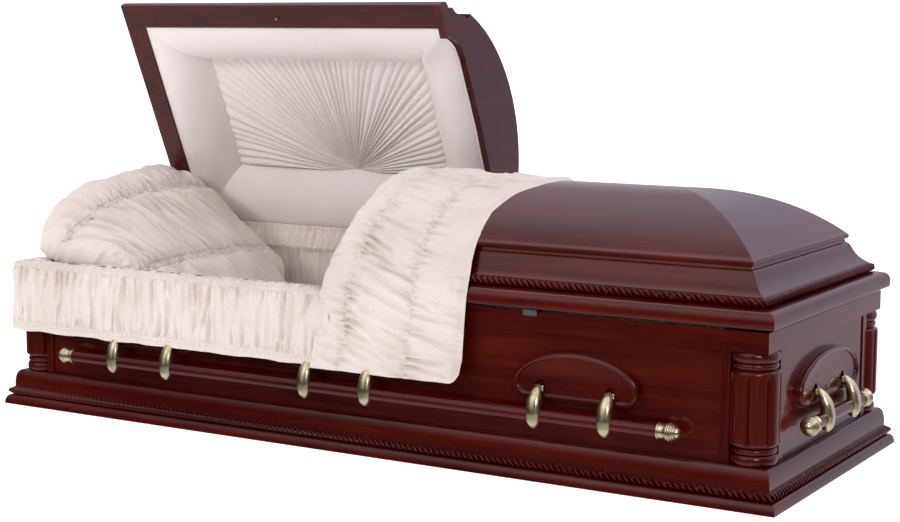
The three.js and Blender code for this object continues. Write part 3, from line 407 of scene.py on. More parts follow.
class Tree:
    """The node tree of one material or world."""

    def __init__(self, name: str, blocks: bpy.types.bpy_prop_collection | None = None) -> None:
        """Starts an empty material, or an empty world, of that name."""
        self.block = (bpy.data.materials if blocks is None else blocks).new(name)
        self.block.use_nodes = True
        self.nodes = self.block.node_tree.nodes
        self.links = self.block.node_tree.links
        self.nodes.clear()

    def make(self, kind: str, settings: dict | None = None, inputs: dict | None = None, output: int | str = 0) -> Wire:
        """Adds any node.

        Args:
            kind: the node's type.
            settings: its properties, and stops for a colour ramp; they are set first.
            inputs: values or wires for its sockets.
            output: the socket that is returned.

        Returns:
            The chosen output.
        """
        node = self.nodes.new(kind)
        for key, value in (settings or {}).items():
            if key == "stops":
                while len(node.color_ramp.elements) < len(value):
                    node.color_ramp.elements.new(0.5)
                for stop, (at, colour) in zip(node.color_ramp.elements, value):
                    stop.position, stop.color = at, (*colour, 1)
            else:
                setattr(node, key, value)
        for key, value in (inputs or {}).items():
            if isinstance(value, Wire):
                self.links.new(value.socket, node.inputs[key])
            else:
                node.inputs[key].default_value = value
        return Wire(self, node.outputs[output] if node.outputs else None)

    def place(self, scale: tuple[float, float, float] = (1, 1, 1)) -> Wire:
        """The object's own coordinates, scaled along each axis."""
        at = self.make("ShaderNodeTexCoord", output="Object")
        return self.make("ShaderNodeMapping", {"vector_type": "POINT"}, {"Vector": at, "Scale": scale})

    def noise(self, at: Wire, scale: float, detail: float = 3, roughness: float = 0.5, distortion: float = 0) -> Wire:
        """Fractal noise as a value."""
        inputs = {"Vector": at, "Scale": scale, "Detail": detail, "Roughness": roughness, "Distortion": distortion}
        return self.make("ShaderNodeTexNoise", {}, inputs, "Fac")

    def ramp(self, value: Wire, *stops: tuple[float, tuple[float, float, float]]) -> Wire:
        """A colour for each value."""
        return self.make("ShaderNodeValToRGB", {"stops": stops}, {0: value})

    def mix(self, share: Wire | float, first: Wire | tuple, second: Wire | tuple, how: str = "MIX") -> Wire:
        """Mixes two colours."""
        first, second = (c if isinstance(c, Wire) else (*c, 1) for c in (first, second))
        return self.make("ShaderNodeMix", {"data_type": "RGBA", "blend_type": how}, {0: share, 6: first, 7: second}, 2)

    def bump(self, height: Wire, distance: float, strength: float = 1.0) -> Wire:
        """A normal from a height."""
        return self.make("ShaderNodeBump", {}, {"Height": height, "Distance": distance, "Strength": strength})

    def surface(self, inputs: dict) -> bpy.types.Material:
        """Ends the tree in a principled shader and returns the material."""
        shader = self.make("ShaderNodeBsdfPrincipled", {}, inputs)
        self.make("ShaderNodeOutputMaterial", {}, {"Surface": shader})
        return self.block


@dataclass(frozen=True)
class Lacquer:
    """Dark red mahogany under a clear gloss coat.

    The grain runs along one axis.
    """

    axis: int = 0
    dark: tuple[float, float, float] = (0.016, 0.0006, 0.0006)
    middle: tuple[float, float, float] = (0.042, 0.0014, 0.0009)
    light: tuple[float, float, float] = (0.105, 0.0075, 0.0022)

    def material(self) -> bpy.types.Material:
        """Builds the material."""
        tree = Tree(f"mahogany_{'xyz'[self.axis]}")
        along = [1.0, 1.0, 1.0]
        along[self.axis] = 0.07
        at = tree.place(tuple(along))
        broad = tree.noise(at, 14, 4, 0.6, 0.8)
        streak = tree.noise(at, 120, 3, 0.55, 0.3)
        pores = tree.noise(at, 900, 2, 0.6)
        cloud = tree.noise(tree.place(), 2.2, 3, 0.5)
        figure = broad * 0.55 + streak * 0.3 + cloud * 0.25
        colour = tree.ramp(figure, (0.32, self.dark), (0.5, self.middle), (0.78, self.light))
        pitted = tree.mix(tree.ramp(pores, (0.55, (0, 0, 0)), (0.75, (0.45, 0.45, 0.45))), colour, self.dark)
        height = streak * 0.5 + pores * 0.3
        return tree.surface({
            "Base Color": pitted,
            "Roughness": tree.noise(tree.place(), 35, 3) * 0.08 + 0.17,
            "Normal": tree.bump(height, 0.00012, 0.35),
            "Coat Weight": 0.4,
            "Coat Roughness": 0.05,
            "IOR": 1.42,
            "Specular IOR Level": 0.28,
        })


@dataclass(frozen=True)
class Crepe:
    """Matt ivory crepe with a fine crinkle."""

    name: str = "ivory_crepe"
    shade: tuple[float, float, float] = (0.62, 0.54, 0.49)
    tint: tuple[float, float, float] = (0.735, 0.65, 0.60)
    crinkle: float = 620
    depth: float = 0.00035

    def material(self) -> bpy.types.Material:
        """Builds the material."""
        tree = Tree(self.name)
        at = tree.place()
        cloud = tree.noise(at, 6, 4, 0.55)
        fleck = tree.noise(at, self.crinkle * 0.4, 3, 0.6)
        weave = tree.noise(at, self.crinkle, 3, 0.65, 0.6)
        colour = tree.ramp(cloud * 0.6 + fleck * 0.4, (0.35, self.shade), (0.62, self.tint))
        return tree.surface({
            "Base Color": colour,
            "Roughness": weave * 0.15 + 0.78,
            "Normal": tree.bump(weave + fleck * 0.8, self.depth, 0.6),
            "Sheen Weight": 0.25,
            "Sheen Roughness": 0.5,
            "Specular IOR Level": 0.2,
        })


@dataclass(frozen=True)
class AntiqueBrass:
    """Pale brass with darker patina in the hollows."""

    def material(self) -> bpy.types.Material:
        """Builds the material."""
        tree = Tree("antique_brass")
        at = tree.place()
        patch = tree.noise(at, 45, 4, 0.6, 0.5)
        speck = tree.noise(at, 600, 2, 0.6)
        worn = patch * 0.75 + speck * 0.25
        colour = tree.ramp(worn, (0.30, (0.42, 0.33, 0.17)), (0.45, (0.72, 0.62, 0.40)), (0.66, (0.88, 0.80, 0.58)))
        return tree.surface({
            "Base Color": colour,
            "Metallic": 1.0,
            "Roughness": patch * 0.12 + 0.24,
            "Normal": tree.bump(speck, 0.0001, 0.08),
        })


@dataclass(frozen=True)
class ZincSteel:
    """Plain zinc-plated steel of hinges and locks."""

    def material(self) -> bpy.types.Material:
        """Builds the material."""
        tree = Tree("zinc_steel")
        at = tree.place((0.1, 1, 1))
        brushed = tree.noise(at, 400, 3, 0.6)
        colour = tree.ramp(brushed, (0.3, (0.30, 0.30, 0.31)), (0.7, (0.55, 0.55, 0.56)))
        return tree.surface({
            "Base Color": colour,
            "Metallic": 1.0,
            "Roughness": brushed * 0.2 + 0.28,
            "Normal": tree.bump(brushed, 0.0001, 0.3),
        })


class Finishes:
    """Every material of the casket, each made once."""

    def __init__(self) -> None:
        """Builds the materials."""
        self.wood_x = Lacquer(axis=0).material()
        self.wood_y = Lacquer(axis=1).material()
        self.wood_z = Lacquer(axis=2).material()
        self.crepe = Crepe().material()
        self.suede = Crepe("ivory_suede", (0.75, 0.69, 0.655), (0.81, 0.75, 0.72), 900, 0.00018).material()
        self.brass = AntiqueBrass().material()
        self.steel = ZincSteel().material()

    def wood(self, side: Side) -> bpy.types.Material:
        """Wood with its grain along one side of the box."""
        return self.wood_x if side in (Side.FRONT, Side.BACK) else self.wood_y


FINISHES = Finishes()


def set_finish(node: str, finish: bpy.types.Material, edge_mm: float = 0.0) -> None:
    """Gives a carried-over CAD node its finish and, where asked, a small bevel.

    Args:
        node: the node's name.
        finish: its material.
        edge_mm: width of the bevel.
    """
    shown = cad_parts[node]
    shown.data.materials.clear()
    shown.data.materials.append(finish)
    if edge_mm:
        bevel = shown.modifiers.new("edge", "BEVEL")
        bevel.width, bevel.segments, bevel.limit_method = edge_mm / 1000, 2, "ANGLE"
        bevel.angle_limit, bevel.harden_normals = math.radians(50), False


def stand_for(piece: bpy.types.Object, body: str, slot: str, *nodes: str) -> bpy.types.Object:
    """Puts a new piece on its body in place of CAD nodes.

    Args:
        piece: the new piece.
        body: the body that it rides on.
        slot: the record's material slot; not used.
        nodes: the nodes that it stands for.

    Returns:
        The piece.
    """
    if nodes:
        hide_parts(*nodes)
    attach(piece, body)
    LOG.info("%s rides on %s, %d faces", piece.name, body, len(piece.data.polygons))
    return piece


# Wood


@dataclass
class Moulding:
    """A straight moulding along one side, mitred at a corner or cut square."""

    side: Side
    section: Profile
    low: float | None = None
    high: float | None = None

    def add_to(self, skin: Skin, mitre_gap: float = 0.0) -> None:
        """Adds the moulding to a piece.

        Args:
            skin: the piece.
            mitre_gap: room left at each mitre.
        """
        section = np.array(self.section)
        inset, z = section[:, 0], section[:, 1]
        rows = []
        for stop, sign in ((self.low, -1), (self.high, 1)):
            along = sign * (self.side.half - inset - mitre_gap) if stop is None else np.full_like(inset, stop)
            rows.append(self.side.place(inset, along, z))
        skin.prism(rows[0], rows[1])


@dataclass
class CarvedRope:
    """A half-round moulding carved as a twisted rope."""

    seat: float
    depth: float
    foot: float
    height: float
    pitch: float = 14.5
    groove: float = 0.95
    step: float = 1.9

    def add_to(self, skin: Skin, side: Side, low: float | None = None, high: float | None = None) -> None:
        """Adds one straight length.

        Args:
            skin: the piece.
            side: the side it runs along.
            low: where it is cut square at the lower end, or None for a mitre.
            high: the same at the upper end.
        """
        first = -(side.half - self.seat) if low is None else low
        last = side.half - self.seat if high is None else high
        along = np.linspace(first, last, int((last - first) / self.step))[:, None]
        turn = np.linspace(-90, 90, 13)[None, :]
        angle = np.radians(turn)
        lobe = np.abs(np.sin(math.pi * (along / self.pitch + turn / 120))) ** 0.62
        swell = 1 - self.groove * (1 - lobe) * np.cos(angle) ** 0.3
        middle = self.foot + self.height / 2
        inset = self.seat - self.depth * np.cos(angle) * swell
        z = middle + (self.height / 2 - 0.5) * np.sin(angle) * (0.35 + 0.65 * swell)
        stretch = (side.half - inset) / (side.half - self.seat)
        bottom = along if low is not None else np.where(along < 0, along * stretch, along)
        placed = bottom if high is not None else np.where(along > 0, along * stretch, bottom)
        skin.grid(side.place(inset, placed, z))


@dataclass
class Box:
    """The box: bottom, panels, posts, rails, plinth and corner columns."""

    column_inset: float = 80.0
    column_radius: float = 54.6
    ring_radius: float = 51.0
    neck_radius: float = 45.5
    bead_radius: float = 48.8
    groove_depth: float = 5.0
    reeds: int = 8

    def plinth_section(self) -> Profile:
        """The plinth's section: lip, rope seat and the big quarter round."""
        return [
            (0.6, 0), (0.0, 0.8), *bend((0, 3), (1.2, 19.5), (10.3, 22.7), 10), (19.7, 22.9), (19.7, 44.1),
            *bend((19.7, 52), (20.4, 82.5), (31, 87.1), 14), (41.7, PLINTH_HEIGHT), (41.7, 0),
        ]

    def build_plinth(self) -> None:
        """Builds the four plinth mouldings and the rope that runs round them."""
        for side in Side:
            skin = Skin()
            Moulding(side, self.plinth_section()).add_to(skin, 0.15)
            name = f"plinth_{side.value}"
            stand_for(skin.piece(f"plinth_moulding_{side.value}", FINISHES.wood(side)), "box", "mahogany", name)
        skin = Skin()
        rope = CarvedRope(seat=19.9, depth=13.5, foot=23.0, height=20.8)
        for side in Side:
            rope.add_to(skin, side)
        stand_for(skin.piece("plinth_carved_rope", FINISHES.wood_x, 50), "box", "mahogany", "plinth_rope")

    def column_outline(self) -> Profile:
        """Half outline of a column: torus, bead, shoulder and shaft, from the foot up to mid height."""
        r = self
        return [
            (0, 0), (r.neck_radius, 0), *arc((r.neck_radius, 11), (6.0, 11), -80, 80, 8),
            (r.neck_radius - 1.5, 23), *arc((r.neck_radius - 1, 29.5), (4.6, 6.2), -80, 80, 6),
            (r.neck_radius - 1.5, 37),
            *bend((r.neck_radius - 0.5, 38), (r.column_radius, 39), (r.column_radius, 48), 6),
            (r.column_radius, 60), (r.column_radius, 90),
        ]

    def build_column(self, end: int, side: int, node: str) -> None:
        """Builds one reeded column.

        Args:
            end: -1 at the head, 1 at the foot.
            side: -1 at the front, 1 at the back.
            node: the CAD node that it stands for.
        """
        foot = PLINTH_HEIGHT + 0.3
        half = self.column_outline()
        height = WALL_TOP - foot
        outline = np.array(half + [(r, height - z) for r, z in reversed(half)])
        start = -82 if end * side < 0 else -98
        pitch = 360 / self.reeds
        turn = start + np.arange(0, 360, 2.5)
        azimuth = np.radians(turn)
        off = np.abs((turn - start + pitch / 2) % pitch - pitch / 2)
        groove = np.exp(-((off / 3.2) ** 2)) + 0.25 * np.exp(-off / 7)
        z = outline[:, 1]
        reach = np.clip((np.minimum(z, height - z) - 41) / 7, 0, 1)
        radius = outline[:, :1] - self.groove_depth * groove[None, :] * reach[:, None]
        x = end * (HALF_LENGTH - self.column_inset) + radius * np.cos(azimuth)
        y = side * (HALF_WIDTH - self.column_inset) + radius * np.sin(azimuth)
        rows = np.stack([x, y, np.repeat(foot + z[:, None], len(azimuth), 1)], -1)
        skin = Skin()
        skin.grid(rows, wrap_columns=True)
        stand_for(skin.piece(f"reeded_{node}", FINISHES.wood_z, 60), "box", "mahogany", node)

    def build(self) -> None:
        """Builds the whole box."""
        self.build_plinth()
        for end, end_name in ((-1, "head"), (1, "foot")):
            for side, side_name in ((-1, "front"), (1, "back")):
                self.build_column(end, side, f"column_{side_name}_{end_name}")
                set_finish(f"corner_post_{side_name}_{end_name}", FINISHES.wood_z, 1.2)
        for side in Side:
            set_finish(f"panel_{side.value}", FINISHES.wood(side))
            set_finish(f"rail_{side.value}", FINISHES.wood(side), 1.6)
        set_finish("bottom_board", FINISHES.wood_x)


@dataclass
class Lid:
    """One lid: rim moulding, carved rope, crown and the board that closes it at the split."""

    name: str
    end: int
    board_face: float
    thickness: float = 20.0

    def put(self, skin: Skin, label: str, finish: bpy.types.Material, *nodes: str, sharp: float = 32) -> None:
        """Ends a piece of this lid, opened if it is the head lid."""
        if self.end < 0:
            skin.points = [opened(p) for p in skin.points]
        stand_for(skin.piece(f"{self.name}_{label}", finish, sharp), self.name, "mahogany", *nodes)

    @property
    def sides(self) -> tuple[Side, Side, Side]:
        """The three sides that the lid's mouldings run along."""
        return Side.FRONT, Side.BACK, (Side.HEAD if self.end < 0 else Side.FOOT)

    @property
    def cut(self) -> float:
        """Where the mouldings stop, at the board's back."""
        return self.board_face + self.end * (self.thickness + 0.15)

    def limits(self, side: Side) -> tuple[float | None, float | None]:
        """Where a moulding along a side is cut square, or None for a mitre."""
        if side.half == HALF_WIDTH:
            return None, None
        return (None, self.cut) if self.end < 0 else (self.cut, None)

    @staticmethod
    def roundover() -> Profile:
        """The thick rounded edge of the rim."""
        return [
            (19.4, LID_BASE), (18.2, LID_BASE + 1.2),
            *bend((18.0, LID_BASE + 2), (13.6, LID_BASE + 31), (32, LID_BASE + 35), 14), (42.8, LID_BASE + 37.2),
        ]

    @staticmethod
    def cove() -> Profile:
        """The hollow between the rope and the crown."""
        return [
            *bend((57.3, LID_BASE + 58.8), (79, LID_BASE + 72), (88, LID_BASE + 94), 8),
            *bend((88, LID_BASE + 94), (93, LID_BASE + 107), (100.2, LID_BASE + 108.8), 4)[1:],
        ]

    @staticmethod
    def crown_arc(steps: int = 26) -> Profile:
        """The crown's curve from its drip edge to the ridge."""
        rise, half_span = 115.5, 292.5
        radius = (half_span**2 + rise**2) / (2 * rise)
        centre = LID_BASE + 243.5 - radius
        angles = np.linspace(math.asin(half_span / radius), 0, steps + 1)
        return [(HALF_WIDTH - radius * math.sin(a), centre + radius * math.cos(a)) for a in angles]

    def crown_edge(self) -> Profile:
        """The drip edge under the crown's curve."""
        return [(102.2, LID_BASE + 109), (102.2, LID_BASE + 115.4), (96.5, LID_BASE + 117), (94.8, LID_BASE + 119.5),
                (94.8, LID_BASE + 125), (96.2, LID_BASE + 127.4)]

    def build_rim(self) -> None:
        """Builds the rim moulding with its rope."""
        section = [
            *self.roundover(), (57.3, LID_BASE + 37.4), *self.cove(), (102.2, LID_BASE + 114.9),
            (118.2, LID_BASE + 114.9), (118.2, LID_BASE + 104.8), (82, LID_BASE + 52.8),
            (82, LID_BASE + 1.0), (81, LID_BASE),
        ]
        for side in self.sides:
            skin = Skin()
            Moulding(side, section, *self.limits(side)).add_to(skin, 0.1)
            nodes = [f"{self.name}_rim"] if side is Side.FRONT else []
            self.put(skin, f"rim_moulding_{side.value}", FINISHES.wood(side), *nodes)
        skin = Skin()
        rope = CarvedRope(seat=57.4, depth=12.8, foot=LID_BASE + 37.4, height=20.6)
        for side in self.sides:
            rope.add_to(skin, side, *self.limits(side))
        self.put(skin, "carved_rope", FINISHES.wood_x, f"{self.name}_rope", sharp=50)

    def build_crown(self) -> None:
        """Builds the crown: two long slopes and one hipped end, hollow beneath."""
        outer = [*self.crown_edge(), *self.crown_arc()]
        inner = [(HALF_WIDTH - (HALF_WIDTH - i) * 0.953, z - 15) for i, z in self.crown_arc(12)]
        for side in self.sides:
            skin = Skin()
            low, high = self.limits(side)
            for line in (outer, inner):
                inset, z = np.array(line).T
                reach = HALF_LENGTH - HALF_WIDTH if side.half == HALF_LENGTH else 0
                ends = []
                for stop, sign in ((low, -1), (high, 1)):
                    mitre = sign * (reach + HALF_WIDTH - inset)
                    ends.append(mitre if stop is None else np.full_like(inset, stop))
                count = 2 if side.half == HALF_LENGTH else 12
                share = np.linspace(0, 1, count)[:, None]
                skin.grid(side.place(inset[None], ends[0] * (1 - share) + ends[1] * share, z[None]))
            nodes = [f"{self.name}_crown"] if side is Side.FRONT else []
            self.put(skin, f"crown_{side.value}", FINISHES.wood(side), *nodes)

    def build_board(self) -> None:
        """Builds the header board that closes the lid at the split."""
        rope = [(57.0, LID_BASE + 37.4), *arc((57.3, LID_BASE + 47.7), (11.5, 10.2), 270, 90, 10)]
        outline = [*self.roundover(), *rope[1:], *self.cove()[1:], *self.crown_edge()[1:], *self.crown_arc()]
        arch = [
            (108.5, LID_BASE), (108.5, LID_BASE + 9),
            *bend((109, LID_BASE + 12), (112, LID_BASE + 16), (118, LID_BASE + 24), 4),
            *bend((118, LID_BASE + 24), (140, LID_BASE + 58), (190, LID_BASE + 61), 12)[1:],
            (HALF_WIDTH, LID_BASE + 67.5),
        ]
        front = [(i - HALF_WIDTH, z) for i, z in outline]
        under = [(i - HALF_WIDTH, z) for i, z in arch]
        loop = front + [(-y, z) for y, z in reversed(front[:-1])] + [(-y, z) for y, z in under] + under[-2::-1]
        y, z = np.array(loop).T
        faces = (self.board_face, self.board_face + self.end * self.thickness)
        near, far = (np.stack([np.full_like(y, x), y, z], -1) for x in faces)
        skin = Skin()
        skin.prism(near, far)
        self.put(skin, "arched_board", FINISHES.wood_y, f"{self.name}_header_board")

    def build(self) -> None:
        """Builds the lid's woodwork."""
        self.build_rim()
        self.build_crown()
        self.build_board()


# Handles


@dataclass
class Plaque:
    """A carved wooden plaque with a rounded border and two sockets for the arms."""

    side: Side
    centre: float
    half_width: float
    nodes: tuple[str, ...]
    bottom: float = 180.0
    widest: float = 212.0
    top: float = 286.0
    corner: float = 30.0

    def outline(self, shrink: float) -> np.ndarray:
        """The outline, drawn in from the edge by shrink, as points along and up."""
        reach = self.half_width - shrink
        corner = self.corner - shrink / 2
        points = [
            *arc((0, self.widest), (reach, self.top - self.widest - shrink), 0, 180, 48),
            *arc((corner - reach, self.widest), (corner, self.widest - self.bottom - shrink), 180, 270, 10)[1:],
            *arc((reach - corner, self.widest), (corner, self.widest - self.bottom - shrink), 270, 360, 10)[:-1],
        ]
        return np.array(points)

    def build(self) -> None:
        """Builds the plaque with its border, field and socket holes."""
        border = [(0.8, 27), (3, 24.4), (6.5, 23.1), (10, 24.2), (12.4, 27), (13.4, 29.6)]
        rings = [(0, 41.7), (0, 31), *border, (15, 29.8)]
        rows = []
        for shrink, inset in rings:
            along, z = self.outline(shrink).T
            rows.append(self.side.place(inset, self.centre + along, z))
        skin = Skin()
        skin.grid(np.stack(rows), wrap_columns=True)
        skin.cap(rows[-1])
        skin.cap(rows[0][::-1])
        made = skin.piece(f"carved_{self.nodes[0]}", FINISHES.wood(self.side))
        self.drill(made)
        stand_for(made, "box", "mahogany", *self.nodes)

    def drill(self, made: bpy.types.Object) -> None:
        """Cuts the two oval sockets."""
        for offset in (-85, 85):
            skin = Skin()
            ring = np.array(arc((self.centre + offset, 205), (12.5, 16), 0, 360, 28)[:-1])
            skin.prism(self.side.place(39.0, ring[:, 0], ring[:, 1]), self.side.place(15.0, ring[:, 0], ring[:, 1]))
            tool = skin.piece("socket_tool", FINISHES.wood_x)
            cut = made.modifiers.new("socket", "BOOLEAN")
            cut.object, cut.operation, cut.solver = tool, "DIFFERENCE", "EXACT"
            view = bpy.context.evaluated_depsgraph_get()
            mesh = bpy.data.meshes.new_from_object(made.evaluated_get(view))
            made.modifiers.clear()
            made.data = mesh
            bpy.data.objects.remove(tool)
        made.data.set_sharp_from_angle(angle=math.radians(32))


@dataclass
class SwingBar:
    """A wooden bar with brass arms and end caps, hung from its plaques."""

    side: Side
    centre: float
    length: float
    stations: tuple[float, ...]
    body: str
    bar_inset: float = 8.0
    bar_height: float = 146.0
    radius: float = 15.0
    cap_length: float = 52.0
    arm_spacing: float = 85.0

    def turned(self, skin: Skin, outline: Profile, start: float, sense: int = 1, count: int = 32) -> None:
        """Adds a shape turned about the bar's axis.

        Args:
            skin: the piece.
            outline: radius against distance along the bar.
            start: where distance zero is.
            sense: 1 or -1 for the way that distance runs.
            count: number of facets round it.
        """
        angle = np.radians(np.arange(count) * 360 / count)
        r, run = np.array(outline).T
        inset = self.bar_inset + r[:, None] * np.cos(angle)
        z = self.bar_height + r[:, None] * np.sin(angle)
        skin.grid(self.side.place(inset, start + sense * run[:, None], z), wrap_columns=True)

    def build_rod(self) -> bpy.types.Object:
        """Builds the wooden rod."""
        half = self.length / 2 - self.cap_length + 4
        skin = Skin()
        self.turned(skin, [(0, -half), (self.radius, -half), (self.radius, half), (0, half)], self.centre)
        return skin.piece(f"rod_{self.side.value}", FINISHES.wood(self.side))

    def cap_outline(self) -> Profile:
        """Turned outline of an end cap: a collar with beaded rims, a flange and a stepped dome."""
        return [
            (15.1, 0), (17.2, 0.3), *arc((17.2, 2.4), (1.6, 2.0), -80, 80, 6), (16.6, 5), (16.3, 12), (16.6, 20),
            *arc((17.4, 23), (1.8, 1.9), -80, 60, 6), (18.6, 26),
            *arc((18.4, 29), (3.0, 2.9), -70, 90, 8), (17.4, 32.2),
            *arc((16.6, 34.6), (2.2, 2.2), -60, 90, 6), (15.0, 37.1), *arc((14.0, 39.4), (2.2, 2.1), -60, 90, 6),
            (12.6, 41.8), *bend((12.4, 42), (11.6, 50.5), (0, 51.8), 12),
        ]

    def build_brass(self) -> bpy.types.Object:
        """Builds the end caps and the arms as one cast set."""
        skin = Skin()
        for sense in (-1, 1):
            end = self.centre + sense * (self.length / 2)
            self.turned(skin, self.cap_outline(), end - sense * self.cap_length, sense, 40)
        for station in self.stations:
            for offset in (-self.arm_spacing, self.arm_spacing):
                self.add_arm(skin, station + offset)
                self.add_pin(skin, station + offset)
        return skin.piece(f"brass_{self.side.value}", FINISHES.brass, 45)

    def add_arm(self, skin: Skin, along: float) -> None:
        """Adds one curved arm that wraps the bar.

        Args:
            skin: the piece.
            along: its place along the side.
        """
        drawn = [(27, 209), (20, 204), (9, 192), (2, 175), (-0.5, 158), (-0.5, 144), (0.5, 132), (3, 121)]
        spine = resample(rounded(drawn, 3), 30)
        share = np.linspace(0, 1, len(spine))
        tangent = np.gradient(spine, axis=0)
        tangent /= np.linalg.norm(tangent, axis=1)[:, None]
        normal = np.stack([tangent[:, 1], -tangent[:, 0]], 1)
        stages = [0, 0.05, 0.15, 0.4, 0.65, 0.85, 0.94, 0.955, 0.985, 1]
        width = np.interp(share, stages, [5, 8.0, 11.5, 16.5, 17.5, 16.0, 13.0, 10.5, 11.2, 8.5])
        depth = np.interp(share, stages, [5, 7.5, 10.5, 15.5, 18.0, 17.0, 14.0, 11.0, 11.8, 9.0])
        angle = np.radians(np.arange(24) * 15)
        across = np.sign(np.cos(angle)) * np.abs(np.cos(angle)) ** 0.85
        out = np.where(np.sin(angle) > 0, np.sin(angle), 0.8 * np.sin(angle))
        out = out + 0.06 * np.cos(angle * 2) * (np.sin(angle) > 0)
        centre = spine[:, None, :] + normal[:, None, :] * (out[None, :, None] * -depth[:, None, None])
        skin.tube(self.side.place(centre[..., 0], along + across[None] * width[:, None], centre[..., 1]))

    def add_pin(self, skin: Skin, along: float) -> None:
        """Adds the pivot pin and the small ear beside the arm's top."""
        angle = np.radians(np.arange(16) * 22.5)
        for half, radius, inset, z in ((11.5, 3.2, 25.5, 206), (10.5, 5.0, 27, 199)):
            run = np.array([-half, -half + 1, half - 1, half])[:, None]
            size = np.array([radius - 1, radius, radius, radius - 1])[:, None]
            skin.tube(self.side.place(inset + size * np.cos(angle), along + run + 0 * angle, z + size * np.sin(angle)))

    def build(self) -> None:
        """Builds the bar and puts it on its own body."""
        node = f"swing_{self.body}"
        stand_for(self.build_rod(), self.body, "mahogany", node)
        stand_for(self.build_brass(), self.body, "mahogany")


@dataclass
class Handles:
    """Every plaque and swing bar of the box."""

    stations: tuple[tuple[str, float], ...] = (("head", -600.0), ("middle", -15.0), ("foot", 592.0))
    long_plaque: float = 150.0
    end_plaque: float = 185.0
    long_centre: float = -10.0
    long_bar: float = 1720.0
    end_bar: float = 400.0

    def build(self) -> None:
        """Builds the plaques and the bars, side by side."""
        places = tuple(at for _, at in self.stations)
        for side in (Side.FRONT, Side.BACK):
            for label, at in self.stations:
                Plaque(side, at, self.long_plaque, (f"plaque_{side.value}_{label}",)).build()
            SwingBar(side, self.long_centre, self.long_bar, places, f"bar_{side.value}").build()
        for side in (Side.HEAD, Side.FOOT):
            Plaque(side, 0, self.end_plaque, (f"plaque_{side.value}",)).build()
            SwingBar(side, 0, self.end_bar, (0,), f"bar_{side.value}").build()


# Soft goods


def normals_of(rows: np.ndarray) -> np.ndarray:
    """Unit normals of a grid of points."""
    down = np.gradient(rows, axis=0)
    right = np.gradient(rows, axis=1)
    normal = np.cross(down, right)
    return normal / np.maximum(np.linalg.norm(normal, axis=-1, keepdims=True), 1e-9)


def set_sheet(
    piece: bpy.types.Object, node: str, body: str, slot: str = "crepe",
) -> None:
    """Args:
        piece: the cloth.
        node: the node that it stands for.
        body: the body that it rides on.
        slot: not used; it is passed on to stand_for, which ignores it.
    """
    stand_for(piece, body, slot, node)


